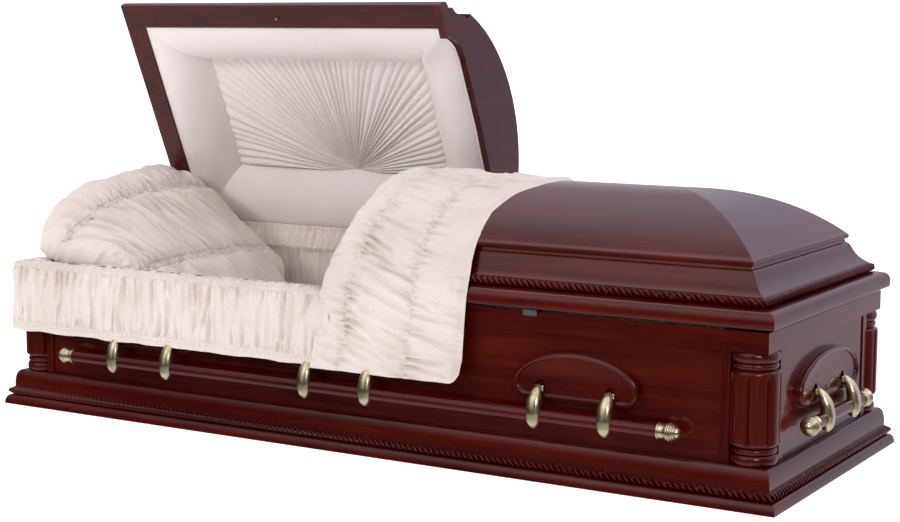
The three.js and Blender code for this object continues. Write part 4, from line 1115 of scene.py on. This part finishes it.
@dataclass
class Skirt:
    """The gathered skirt that hangs over the rim of the open half."""

    foot_x: float = -34.0
    hem: float = 197.0
    back_gap: float = 92.0
    turn_radius: float = 60.0
    squareness: float = 0.45
    step: float = 2.3
    seed: int = 5
    rim: float = 100.0
    hem_band: float = 24.0
    inner_rows: int = 14
    rim_row: int = 30

    def section(self) -> np.ndarray:
        """Inset and height from inside the rail, over the rim and down to the hem."""
        line = [
            (89, 340), (87, 358), (78, 369.5), (52, 372), (32, 372.3), (20, 371), (14.5, 360), (13, 330), (11.5, 270),
            (9.5, 212), (9.0, self.hem),
        ]
        return resample(rounded(line, 2), 94)

    def lay(self) -> np.ndarray:
        """The smooth surface of the skirt, from the foot end round the corner to the back."""
        inset, z = self.section().T
        rows = [
            Side.FRONT.place(inset, np.full_like(inset, x), z)
            for x in np.arange(self.foot_x, self.turn_radius - HALF_LENGTH, -self.step)
        ]
        centre_x, centre_y = self.turn_radius - HALF_LENGTH, self.turn_radius - HALF_WIDTH
        for turn in np.radians(np.linspace(0, 90, 34)):
            reach = self.turn_radius - inset
            square = reach / max(math.cos(turn), math.sin(turn))
            reach = np.where(reach > 0, reach * (1 - self.squareness) + square * self.squareness, reach)
            rows.append(np.stack([centre_x - reach * math.sin(turn), centre_y - reach * math.cos(turn), z], -1))
        rows += [
            Side.HEAD.place(inset, np.full_like(inset, y), z)
            for y in np.arange(self.turn_radius - HALF_WIDTH + self.step, HALF_WIDTH - self.back_gap, self.step)
        ]
        return np.stack(rows)

    def relief(self, run: np.ndarray, drop: np.ndarray) -> np.ndarray:
        """Height of the folds.

        Args:
            run: distance round the skirt.
            drop: distance down it.

        Returns:
            The heights.
        """
        ripple = Ripple(self.seed)
        total = float(drop.max())
        rim = self.rim
        hem_row = total - self.hem_band
        from_hem = hem_row - drop
        above = from_hem > -2
        height = 4.5 * ripple.noise(run / 38, drop / 110) * np.clip((drop - rim) / 40, 0, 1)
        height = height + Creases(self.seed + 1, 30, 8.5, 6.2, 0.04, 0.3, 12).carve(run, drop, rim, hem_row)
        height += Creases(self.seed + 2, 34, 7.5, 6.2, -0.05, 0.25, 12).carve(run, from_hem, 0, hem_row - rim) * above
        height += Creases(self.seed + 3, 14, 3.0, 3.6, 0, 0.3, 3).carve(run, from_hem, 0, 46) * above
        height += Creases(self.seed + 4, 14, 3.0, 3.4, 0, 0.3, 3).carve(run, drop, rim, rim + 42)
        for at, strength in ((0, 4.2), (-9, 4.0)):
            height += strength * ripple.puckers(run + at, drop - rim - at, 8.5, 5.5)
            height += strength * ripple.puckers(run + 60 - at, from_hem + 9 + at, 9.5, 5.5)
        height += 1.8 * ripple.noise(run / 6.5, drop / 22) * np.clip(1 - (total - drop) / 30, 0, 1)
        height += 3.4 * ripple.noise(run / 7, drop / 16) * np.clip((rim - 6 - drop) / 8, 0, 1)
        return height

    def build(self) -> None:
        """Builds the skirt."""
        grid = self.lay()
        run, drop = run_along(grid[:, -1, :])[:, None], run_along(self.section())[None, :]
        height = self.relief(run, drop)
        normal = normals_of(grid)
        outside = np.sign(np.sum(normal * (grid - np.array([-500.0, 0, 250])), -1, keepdims=True))
        outside[:, : self.inner_rows] = outside[:, self.rim_row : self.rim_row + 1]
        grid = grid + normal * outside * (height[..., None] + 1.5)
        grid[..., 2] += 2.5 * Ripple(self.seed).noise(run / 45, 3.3) * np.clip((drop - 150) / 60, 0, 1)
        skin = Skin()
        skin.grid(grid)
        piece = skin.piece("gathered_skirt", FINISHES.crepe, 180)
        set_sheet(piece, "skirt", "box")
        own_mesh(piece)


@dataclass
class Throw:
    """The shirred throw over the foot lid."""

    seed: int = 11
    width: float = 385.0
    bands: tuple[float, ...] = (78.0, 246.0)
    columns: int = 150
    rows: int = 400

    def path(self) -> np.ndarray:
        """Section of the lid under the throw, from the hem at the front over the crown to the back."""
        crown = [(i - HALF_WIDTH - 1, z + 3.5) for i, z in Lid.crown_arc(14)][1:]
        over = [(-y, z) for y, z in reversed(crown[:-1]) if -y < 188]
        front = [(2.5, 192), (5, 240), (9.5, 330), (10.5, 385), (14, 408), (36, 430), (62, 462), (88, 502)]
        return resample(rounded([(i - HALF_WIDTH, z) for i, z in front] + crown + over, 3), self.rows)

    def edges(self, run: np.ndarray) -> tuple[np.ndarray, np.ndarray]:
        """The x of the two side edges at each distance from the front hem."""
        left = np.interp(run, [0, 48, 138, 200, 340, 530, 620, 870], [-88, -77, -61, -54, -44, -43, -50, -56])
        at = [0, 50, 140, 215, 290, 440, 530, 590, 650, 870]
        right = np.interp(run, at, [316, 322, 326, 331, 314, 303, 320, 346, 362, 360])
        return left, right

    def relief(self, across: np.ndarray, along: np.ndarray) -> np.ndarray:
        """Height of the folds.

        Args:
            across: distance from the left edge.
            along: distance from the front hem.

        Returns:
            The heights.
        """
        ripple = Ripple(self.seed)
        first, second = self.bands
        height = 5.5 * ripple.noise(across / 75, along / 34) + 2.0 * ripple.noise(across / 40, along / 15)
        spread = [
            (across - first, second - first, 25, 9.5, 6.4, -0.34),
            (second - across, second - first, 29, 8.5, 6.2, 0.30),
            (first - across, first, 24, 8.5, 6.0, 0.35), (across - second, self.width - second, 22, 8.5, 5.6, -0.12),
            (across - first, 60, 16, 4.4, 4.0, -0.2), (second - across, 52, 15, 4.2, 3.8, 0.2),
            (first - across, 40, 16, 4.4, 4.0, 0.2), (across - second, 46, 15, 4.2, 3.8, -0.1),
            (self.width - across, 62, 21, 5.0, 4.2, 0.03), (across, 44, 22, 4.4, 4.4, 0.1),
        ]
        add_creases(height, along, self.seed, spread)
        for band in self.bands:
            for offset in (-5.5, 5.5):
                height += 4.0 * ripple.puckers(along + 3 * band, across - band - offset, 10.0, 6)
        return height * np.clip(along / 12 + 0.4, 0, 1)

    def build(self) -> None:
        """Builds the throw."""
        section = self.path()
        y, z = section.T
        run = run_along(section)
        left, right = self.edges(run)
        share = np.linspace(0, 1, self.columns)[:, None]
        x = left[None] * (1 - share) + right[None] * share
        grid = np.stack([x, np.broadcast_to(y, x.shape), np.broadcast_to(z, x.shape)], -1)
        across, along = share * self.width + 0 * run[None], run[None] + 0 * x
        height = self.relief(across, along)
        normal = normals_of(grid)
        outside = np.sign(np.sum(normal * (grid - np.array([100.0, 0, 300])), -1, keepdims=True))
        room = np.interp(along, [120, 190], [9.0, 4.5])
        height = np.where(height < 0, -room * np.tanh(-height / (1.3 * room)), height)
        inner = np.clip((self.width - across) / 18, 0, 1)[..., None]
        grid = grid + normal * outside * ((height[..., None] + 5.0) * inner - 3.5)
        top = np.exp(-(((along - 600) / 150) ** 2))
        grid[..., 2] += 9 * top * np.clip(1 - share * 1.1, 0, 1)
        over = np.clip((-20 - x) / 60, 0, 1)
        grid[..., 2] -= 24 * over**1.6 * np.clip((along - 250) / 120, 0, 1)
        corner = np.clip((across - self.width + 26) / 26, 0, 1) ** 2.2 * np.clip((60 - along) / 60, 0, 1)
        grid[..., 2] += 22 * corner
        grid[..., 2] += 2.5 * Ripple(self.seed).noise(across / 30, 0.5) * np.clip((40 - along) / 40, 0, 1)
        skin = Skin()
        skin.grid(grid)
        piece = skin.piece("shirred_throw", FINISHES.crepe, 180)
        set_sheet(piece, "throw", "foot_lid")
        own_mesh(piece)


@dataclass
class Pillow:
    """The propped pillow with its shirred bands."""

    centre: tuple[float, float, float] = (-812.0, 0.0, 378.0)
    size: tuple[float, float, float] = (604.0, 624.0, 176.0)
    slope_deg: float = 33.0
    roundness: float = 5.0
    seed: int = 23
    bands: tuple[float, ...] = (-158.0, 118.0)

    def relief(self, down: np.ndarray, wide: np.ndarray) -> np.ndarray:
        """Height of the folds.

        Args:
            down: distance down the slope from the middle.
            wide: distance across from the middle.

        Returns:
            The heights.
        """
        ripple = Ripple(self.seed)
        high, low = self.bands
        gap = low - high
        top, foot = high + self.size[0] / 2, self.size[0] / 2 - low
        spread = [
            (down - high, gap, 34, 15.0, 8.5, 0.16), (low - down, gap, 40, 12.0, 8.0, -0.14),
            (high - down, top, 28, 12.0, 7.0, 0.2), (down - low, foot, 30, 11.0, 7.0, 0.1),
            (down - high, 70, 17, 6.0, 4.6, 0), (low - down, 60, 17, 5.6, 4.6, 0),
            (high - down, 45, 16, 6.0, 4.6, 0.1), (down - low, 45, 17, 5.6, 4.6, 0),
        ]
        height = 5.0 * ripple.noise(wide / 45, down / 130)
        for band in self.bands:
            height = height - 10.0 * np.exp(-(((down - band) / 26) ** 2))
        add_creases(height, wide, self.seed, spread, 10)
        for band in self.bands:
            for offset in (-9, 9):
                height += 9.5 * ripple.puckers(wide + band, down - band - offset, 13.5, 9)
        return height

    def build(self) -> None:
        """Builds the pillow."""
        u, v = np.linspace(-1, 1, 168)[:, None], np.linspace(-1, 1, 200)[None]
        u, v = u + 0 * v, v + 0 * u
        fit = np.maximum(np.abs(u), np.abs(v)) / np.maximum(
            (np.abs(u) ** self.roundness + np.abs(v) ** self.roundness) ** (1 / self.roundness), 1e-6)
        down, wide = u * fit * self.size[0] / 2, v * fit * self.size[1] / 2
        swell = np.clip((1 - np.abs(u) ** 3.2) * (1 - np.abs(v) ** 3.2), 0, 1) ** 0.42
        faces = []
        for face, share in ((1, 1.0), (-1, 0.55)):
            grid = np.stack([down, wide, face * swell * self.size[2] / 2], -1)
            normal = normals_of(grid)
            normal *= np.sign(normal[..., 2:] * face)
            height = self.relief(down, wide) * np.clip(swell * 2.2, 0, 1) * share
            grid = grid + normal * height[..., None]
            faces.append(self.prop(grid, down, wide))
        skin = Skin()
        skin.grid(faces[0])
        skin.grid(faces[1])
        piece = skin.piece("shirred_pillow", FINISHES.crepe, 180)
        stand_for(piece, "box", "crepe", "pillow")
        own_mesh(piece)

    def prop(self, grid: np.ndarray, down: np.ndarray, wide: np.ndarray) -> np.ndarray:
        """Puckers the rim, pulls in one corner and props the pillow on the rim.

        Args:
            grid: points of one face, lying flat.
            down: distance down the slope from the middle.
            wide: distance across from the middle.

        Returns:
            The points in place.
        """
        edge = np.maximum(np.abs(down) / self.size[0], np.abs(wide) / self.size[1]) * 2
        rim = np.clip((edge - 0.86) / 0.14, 0, 1)
        ripple = Ripple(self.seed + 60)
        grid[..., 2] += rim * 6 * ripple.noise(wide / 13 + 40, down / 13)
        grid[..., :2] *= 1 + 0.012 * (rim * ripple.noise(wide / 16, down / 16))[..., None]
        pulled = np.exp(-(((down - 255) / 70) ** 2) - (((wide - 285) / 70) ** 2))
        grid[..., 0] -= 30 * pulled
        grid[..., 1] -= 34 * pulled
        angle = math.radians(self.slope_deg)
        x = grid[..., 0] * math.cos(angle) + grid[..., 2] * math.sin(angle) + self.centre[0]
        z = -grid[..., 0] * math.sin(angle) + grid[..., 2] * math.cos(angle) + self.centre[2]
        y = grid[..., 1] + self.centre[1]
        head = np.clip(-down / 280, 0, 1)
        z = z + head * (0.15 * y - 80 * np.clip((-y - 90) / 210, 0, 1) ** 2)
        return np.stack([x, y, z], -1)


@dataclass
class Bedding:
    """The lining of the walls and the mattress."""

    seed: int = 31
    wall_inset: float = 75.0
    back_inset: float = 62.5
    top: float = 373.5
    foot: float = 28.0
    band: float = 292.0

    def wall(self, skin: Skin, side: Side, low: float, high: float) -> None:
        """Adds one gathered wall.

        Args:
            skin: the piece.
            side: the wall's side.
            low: where it starts along the side.
            high: where it ends.
        """
        along = np.arange(low, high, 4.0)[:, None]
        z = np.concatenate([np.linspace(self.foot, 180, 6), np.linspace(184, self.top, 40)])[None]
        seed = self.seed + 10 * len(side.value)
        ripple = Ripple(seed)
        height = 3.0 * ripple.noise(along / 40, z / 90)
        height = height + Creases(seed + 1, 24, 5.5, 5.5, 0, 0.4).carve(along, self.top - z, 0, 170)
        height += Creases(seed + 2, 26, 4.5, 5.5, 0, 0.3).carve(along, np.abs(z - self.band), 0, 90)
        height += 2.4 * ripple.puckers(along, z - self.band, 10, 7)
        inset = np.concatenate([self.wall_inset + height, np.full_like(height[:, :1], self.back_inset)], 1)
        rise = np.concatenate([z + 0 * along, np.full_like(along, self.top + 0.5)], 1)
        skin.grid(side.place(inset, along + 0 * rise, rise))

    def build(self) -> None:
        """Builds the lining and the mattress."""
        skin = Skin()
        corner = 140.0
        for side in Side:
            self.wall(skin, side, corner - side.half, side.half - corner)
        for end in (-1, 1):
            for side in (-1, 1):
                self.corner(skin, end, side)
        lining = skin.piece("gathered_wall_lining", FINISHES.crepe, 180)
        stand_for(lining, "box", "crepe", "wall_lining")
        self.build_mattress()

    def corner(self, skin: Skin, end: int, side: int) -> None:
        """Adds the lining that steps round a corner post."""
        x, y = HALF_LENGTH, HALF_WIDTH
        turn = [(x - 76, y - 143), (x - 110, y - 158), (x - 156, y - 158), (x - 158, y - 112), (x - 143, y - 76)]
        line = resample(rounded(turn, 2), 44)
        run = np.arange(44)[:, None] * 4.6
        z = np.linspace(self.foot, self.top, 46)[None]
        height = Creases(self.seed + 3 + end + 2 * side, 22, 4.5, 5.0).carve(run, self.top - z, 0, 170)
        px = end * (line[:, :1] - height * 0.7)
        py = side * (line[:, 1:] - height * 0.7)
        skin.grid(np.stack([px, py, z + 0 * px], -1))

    def build_mattress(self) -> None:
        """Builds the mattress as a softly crowned pad with a gathered cover."""
        half_x, half_y, step_x, step_y = 972.0, 302.0, 893.0, 224.0
        x, y = np.linspace(-half_x, half_x, 196)[:, None], np.linspace(-half_y, half_y, 62)[None]
        x, y = x + 0 * y, y + 0 * x
        inside = np.minimum(np.minimum(half_x - np.abs(x), half_y - np.abs(y)) / 60, 1)
        ripple = Ripple(self.seed + 9)
        z = 176 + 12 * np.sqrt(np.clip(1 - (1 - inside) ** 2, 0, 1)) + 4.5 * ripple.noise(x / 34, y / 120) * inside
        in_corner = (np.abs(x) > step_x) & (np.abs(y) > step_y)
        by_x = in_corner & (np.abs(x) - step_x < np.abs(y) - step_y)
        by_y = in_corner & ~by_x
        top = np.stack([np.where(by_x, np.sign(x) * step_x, x), np.where(by_y, np.sign(y) * step_y, y), z], -1)
        bottom = top.copy()
        bottom[..., 2] = 28.5
        skin = Skin()
        skin.pad(top, bottom)
        stand_for(skin.piece("covered_mattress", FINISHES.crepe, 180), "box", "crepe", "mattress")


@dataclass
class LidPadding:
    """The padded frame, the pleated fan of the head lid, and the plain lining of the foot lid."""

    level: float = LID_BASE + 89.0
    fan: tuple[float, float, float, float] = (-848.0, -163.0, -178.0, 148.0)
    hub: tuple[float, float] = (-455.0, 152.0)
    hub_radius: float = 3.0
    pleats: int = 50
    seed: int = 41
    roll_steps: int = 18
    roll_sections: int = 90

    @staticmethod
    def arch_height(y: np.ndarray) -> np.ndarray:
        """Height of the header board's arch above the lid's base at each y."""
        return np.interp(np.abs(y), [0, 200, 232, 250, 272, 281.5, 300], [67.5, 61, 54, 45, 24, 9, 5])

    def roll_rows(self, k: int, outer: list, inner: list, bulge: float) -> np.ndarray:
        """Points of one roll: sections from corner to corner.

        Args:
            k: number of the roll, from the front one round to the end one.
            outer: corners of the frame's opening.
            inner: corners of the fan.
            bulge: how far in the roll swells.

        Returns:
            The sections.
        """
        z0, top = LID_BASE, self.level
        near, far = (np.array([outer[i], inner[i]], float) for i in (k, (k + 1) % 4))
        rows = []
        for share in np.linspace(0, 1, self.roll_sections):
            start, end = near * (1 - share) + far * share
            foot, control = z0 + 5, (bulge, z0 + 4)
            if k == 1:
                blend = min(1.0, min(share, 1 - share) * 7)
                foot = z0 + float(self.arch_height(start[1]))
                control = (bulge * (1 - blend) + 0.42 * blend, z0 + 4 + 6 * blend)
            face = bend((0, foot), control, (1, top + 2), self.roll_steps)
            line = [*face, (1, top + 15), (0.34, top + 15), (0, max(foot + 2, z0 + 50))]
            t, z = np.array(line).T
            rows.append(np.column_stack([start[0] + (end[0] - start[0]) * t, start[1] + (end[1] - start[1]) * t, z]))
        rows = np.stack(rows)
        ripple = Ripple(self.seed)
        count = self.roll_steps + 1
        soft = np.sin(np.pi * np.linspace(0, 1, count))
        wave = ripple.noise(np.linspace(0, 9, self.roll_sections)[:, None] + k * 5, np.linspace(0, 2, count)[None])
        rows[:, :count, 2] -= 2.2 * wave * soft
        return rows

    def build_rolls(self) -> None:
        """Builds the four padded rolls with mitred ends, and the piping along the arch."""
        edge_x, edge_y, board_x = -977.5, 307.5, -33.8
        outer = [(edge_x, -edge_y), (board_x, -edge_y), (board_x, edge_y), (edge_x, edge_y)]
        x0, x1, y0, y1 = self.fan
        inner = [(x0, y0), (x1, y0), (x1, y1), (x0, y1)]
        for k, (name, bulge) in enumerate((("front", 0.80), ("split", 0.72), ("back", 0.80), ("end", 0.62))):
            rows = opened(self.roll_rows(k, outer, inner, bulge))
            skin = Skin()
            skin.tube(rows)
            if name == "split":
                self.add_piping(skin, board_x)
            piece = skin.piece(f"padded_roll_{name}", FINISHES.suede, 50)
            stand_for(piece, "head_lid", "suede", f"head_lid_roll_{name}")

    def add_piping(self, skin: Skin, board_x: float, radius: float = 2.6) -> None:
        """Adds the piping where the padding meets the header board's arch.

        Args:
            skin: the piece.
            board_x: back of the board.
            radius: the piping's radius.
        """
        y = np.linspace(-278, 278, 150)[:, None]
        z = LID_BASE + self.arch_height(y) - radius
        angle = np.radians(np.arange(0, 360, 45))[None]
        rows = np.stack([board_x + 2 + radius * np.cos(angle) + 0 * y, y + 0 * angle, z + radius * np.sin(angle)], -1)
        skin.grid(opened(rows), wrap_columns=True)

    def build_fan(self) -> None:
        """Builds the cloth pleated into a fan."""
        (x0, x1, y0, y1), lap = self.fan, 6.0
        x0, x1, y0 = x0 - lap, x1 + lap, y0 - lap
        hub_x, hub_y = self.hub
        theta = np.radians(np.linspace(0.5, 179.5, 780))[:, None]
        dx, dy = np.cos(theta), -np.sin(theta)
        reach_x = np.where(dx > 0, (x1 - hub_x) / np.maximum(dx, 1e-9), (x0 - hub_x) / np.minimum(dx, -1e-9))
        reach = np.minimum(reach_x, (y0 - hub_y) / dy)
        share = np.linspace(0, 1, 46)[None] ** 1.15
        r = self.hub_radius + (reach - self.hub_radius) * share
        ripple = Ripple(self.seed + 2)
        warp = 0.45 * ripple.noise(theta * 5, 0.5) + 0.2 * ripple.noise(theta * 12, r / 140)
        phase = theta / math.pi * self.pleats + warp
        ridge = np.abs(np.sin(np.pi * phase)) ** 0.6
        size = 0.7 + 0.3 * ripple.noise(theta * 15 + 3, 1.7)
        rise = np.clip(r / 90, 0, 1) * (1 - 0.5 * np.clip((r - 150) / 320, 0, 1))
        height = 19 * ridge * size * rise * np.clip((reach - r) / 20 + 0.35, 0, 1)
        height += 5 * ripple.noise(theta * 7, r / 260 + 4) * np.clip(r / 160, 0, 1) * np.clip((reach - r) / 40, 0, 1)
        z = self.level - 1.0 - height
        rows = np.stack([hub_x + r * dx, np.minimum(hub_y + r * dy, y1 + 1), z], -1)
        skin = Skin()
        skin.grid(opened(rows))
        piece = skin.piece("pleated_fan", FINISHES.suede, 180)
        set_sheet(piece, "head_lid_fan_panel", "head_lid", "suede")

    def build_foot_lining(self) -> None:
        """Builds the plain quilted lining inside the foot lid."""
        u = np.linspace(0, 1, 90)[:, None]
        v = np.linspace(-1, 1, 50)[None]
        x = 10.5 + u * 925 + 0 * v
        y = v * 265.5 + 0 * u
        edge = np.clip(np.minimum(np.minimum(x - 10, 936 - x), 266 - np.abs(y)) / 30, 0, 1)
        ripple = Ripple(self.seed + 7)
        low = LID_BASE + 72 - 7 * np.sqrt(np.clip(1 - (1 - edge) ** 2, 0, 1)) + 1.2 * ripple.noise(x / 60, y / 60)
        bottom = np.stack([x, y, low], -1)
        top = bottom.copy()
        top[..., 2] = LID_BASE + 78
        skin = Skin()
        skin.pad(bottom, top)
        piece = skin.piece("foot_lid_padding", FINISHES.suede, 60)
        stand_for(piece, "foot_lid", "suede", "foot_lid_lining")

    def build_apron(self) -> None:
        """Builds the gathered strip that joins the back lining to the head lid."""
        x = np.arange(-962, -40, 3.2)[:, None]
        line = resample([(318, 350), (312, 366), (320, 392), (331, 411), (334, 425)], 34)
        run = np.arange(34)[None] * 2.4
        ripple = Ripple(self.seed + 5)
        relief = Creases(self.seed + 6, 21, 5.0, 5.2, 0.25, 0.5).carve(x, 80 - run, 0, 95)
        relief += Creases(self.seed + 8, 23, 4.0, 5.0, 0.2, 0.5).carve(x, run, 0, 95)
        relief += 2.0 * ripple.puckers(x, run - 79, 9, 7)
        y = line[None, :, 0] - relief * np.clip(run / 22, 0, 1)
        z = line[None, :, 1] + 0 * relief
        skin = Skin()
        skin.grid(np.stack([x + 0 * y, y, z], -1))
        piece = skin.piece("gathered_apron", FINISHES.crepe, 180)
        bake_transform(piece)
        LOG.info("%s blends from box to head_lid, %d faces", piece.name, len(piece.data.polygons))

    def build(self) -> None:
        """Builds every piece of padding in the lids."""
        self.build_rolls()
        self.build_fan()
        self.build_foot_lining()
        self.build_apron()


# Hardware, studio


@dataclass
class Hardware:
    """The hinge leaves, the keeper and the stud, which carry over from the CAD."""

    keeper_edge: float = 0.5
    stud_edge: float = 0.4

    def dress(self) -> None:
        """Gives the steel parts their finish."""
        for lid in ("head_lid", "foot_lid"):
            for leaf in ("box", "lid"):
                set_finish(f"{lid}_hinge_{leaf}_leaf", FINISHES.steel)
        set_finish("lock_keeper", FINISHES.steel, self.keeper_edge)
        set_finish("lock_stud", FINISHES.steel, self.stud_edge)


@dataclass(frozen=True)
class Lamp:
    """A soft square light; sizes in metres, power in watts."""

    name: str
    at: tuple[float, float, float]
    aim: tuple[float, float, float]
    size: float
    power: float
    reflected: bool = True

    def build(self) -> None:
        """Hangs the light; glossy surfaces show it only where reflected is set."""
        data = bpy.data.lights.new(self.name, "AREA")
        data.size, data.energy = self.size, self.power
        light = bpy.data.objects.new(self.name, data)
        light.location, light.visible_glossy = self.at, self.reflected
        light.rotation_euler = (Vector(self.aim) - Vector(self.at)).to_track_quat("-Z", "Y").to_euler()
        bpy.context.scene.collection.objects.link(light)


LAMPS = (
    Lamp("overhead", (-0.2, -0.6, 3.6), (0, 0, 0.3), 2.2, 20, False),
    Lamp("key", (-3.2, -3.6, 2.6), (-0.3, 0, 0.4), 0.8, 66, False),
    Lamp("fill", (3.4, -3.4, 2.4), (0.2, 0, 0.5), 1.6, 50),
)


@dataclass
class Studio:
    """Camera, floor and lights."""

    camera_at: tuple[float, float, float] = (2.3322, -3.7599, 0.9819)
    yaw_deg: float = 31.135
    pitch_deg: float = 7.439
    roll_deg: float = 0.137
    lens: float = 72.40
    floor_half: float = 14.0
    floor_drop: float = 0.001
    floor_glow: float = 1.9
    backdrop_far: float = 9.0
    backdrop_high: float = 8.0
    backdrop_glow: float = 2.0

    def build_camera(self) -> None:
        """Puts the camera where the photograph was taken from."""
        yaw, pitch, roll = (math.radians(a) for a in (self.yaw_deg, self.pitch_deg, self.roll_deg))
        forward = Vector((-math.sin(yaw) * math.cos(pitch), math.cos(yaw) * math.cos(pitch), -math.sin(pitch)))
        right = Vector((math.cos(yaw), math.sin(yaw), 0))
        up = right.cross(forward)
        across = right * math.cos(roll) + up * math.sin(roll)
        upward = up * math.cos(roll) - right * math.sin(roll)
        data = bpy.data.cameras.new("photo_camera")
        data.lens, data.sensor_width, data.sensor_fit = self.lens, 36, "HORIZONTAL"
        camera = bpy.data.objects.new("photo_camera", data)
        turn = Matrix((across, upward, -forward)).transposed().to_4x4()
        camera.matrix_world = Matrix.Translation(self.camera_at) @ turn
        bpy.context.scene.collection.objects.link(camera)
        bpy.context.scene.camera = camera

    def pale_finish(self, name: str, glow: float) -> bpy.types.Material:
        """A pale, slightly glowing finish for the floor and the backdrop."""
        tree = Tree(name)
        cloud = tree.noise(tree.place(), 1.5, 3)
        colour = tree.ramp(cloud, (0.3, (0.50, 0.50, 0.51)), (0.7, (0.54, 0.54, 0.54)))
        inputs = {"Base Color": colour, "Roughness": 0.9, "Specular IOR Level": 0.05, "Emission Color": colour,
                  "Emission Strength": glow}
        return tree.surface(inputs)

    def lay_sheet(self, name: str, corners: list[tuple[float, float, float]], glow: float) -> None:
        """Adds one flat piece of the studio."""
        mesh = bpy.data.meshes.new(name)
        mesh.from_pydata(corners, [], [(0, 1, 2, 3)])
        mesh.materials.append(self.pale_finish(name, glow))
        sheet = bpy.data.objects.new(name, mesh)
        sheet.visible_glossy = False
        bpy.context.scene.collection.objects.link(sheet)

    def build_floor(self) -> None:
        """Lays a pale floor and hangs a pale backdrop behind it."""
        half = self.floor_half
        turns = ((-1, -1), (1, -1), (1, 1), (-1, 1))
        self.lay_sheet("floor", [(x * half, y * half, -self.floor_drop) for x, y in turns], self.floor_glow)
        yaw = math.radians(self.yaw_deg)
        away = Vector((-math.sin(yaw), math.cos(yaw), 0)) * self.backdrop_far
        across = Vector((math.cos(yaw), math.sin(yaw), 0)) * half
        up = Vector((0, 0, self.backdrop_high))
        corners = [tuple(away - across), tuple(away + across), tuple(away + across + up), tuple(away - across + up)]
        self.lay_sheet("backdrop", corners, self.backdrop_glow)

    def build_world(self) -> None:
        """Lights the room: bright above and behind the casket, pale below, and a window on the camera's side."""
        tree = Tree("studio", bpy.data.worlds)
        bpy.context.scene.world = tree.block
        at = tree.make("ShaderNodeTexCoord", output="Generated")
        bright_way = Vector((0.25, 0.75, 0.60)).normalized()
        toward = tree.make("ShaderNodeVectorMath", {"operation": "DOT_PRODUCT"}, {0: at, 1: bright_way}, "Value")
        above = tree.ramp(
            toward * 0.5 + 0.5, (0.50, (0.02, 0.02, 0.022)), (0.72, (0.12, 0.12, 0.14)), (0.79, (0.62, 0.58, 0.62)),
            (0.95, (0.60, 0.58, 0.74)), (1.0, (0.8, 0.8, 0.9)))
        height = tree.make("ShaderNodeSeparateXYZ", {}, {0: at}, "Z")
        below = tree.ramp(height * -1, (0.20, (0, 0, 0)), (0.55, (0.75, 0.74, 0.74)))
        overhead = tree.ramp(height, (0.50, (0, 0, 0)), (0.85, (0.7, 0.66, 0.72)))
        front_way = Vector((-0.30, -0.75, 0.60)).normalized()
        front = tree.make("ShaderNodeVectorMath", {"operation": "DOT_PRODUCT"}, {0: at, 1: front_way}, "Value")
        window = tree.ramp(front * 0.5 + 0.5, (0.90, (0, 0, 0)), (0.96, (0.45, 0.43, 0.45)), (0.99, (1, 1, 1)))
        room = tree.mix(1.0, tree.mix(1.0, above, below, "ADD"), tree.mix(1.0, overhead, window, "ADD"), "ADD")
        glow = tree.make("ShaderNodeBackground", {}, {"Color": room, "Strength": 1.0})
        tree.make("ShaderNodeOutputWorld", {}, {"Surface": glow})

    def build(self) -> None:
        """Builds the studio."""
        self.build_camera()
        self.build_floor()
        self.build_world()
        for lamp in LAMPS:
            lamp.build()
        bpy.context.scene.view_settings.view_transform = "Standard"


def main() -> None:
    """Builds the casket piece by piece."""
    logging.basicConfig(level=logging.INFO, format="%(message)s")
    Studio().build()
    Box().build()
    Lid("foot_lid", 1, -10.0).build()
    Lid("head_lid", -1, -13.0).build()
    Handles().build()
    Hardware().dress()
    Bedding().build()
    LidPadding().build()
    Pillow().build()
    Skirt().build()
    Throw().build()


if __name__ == "__main__":
    main()
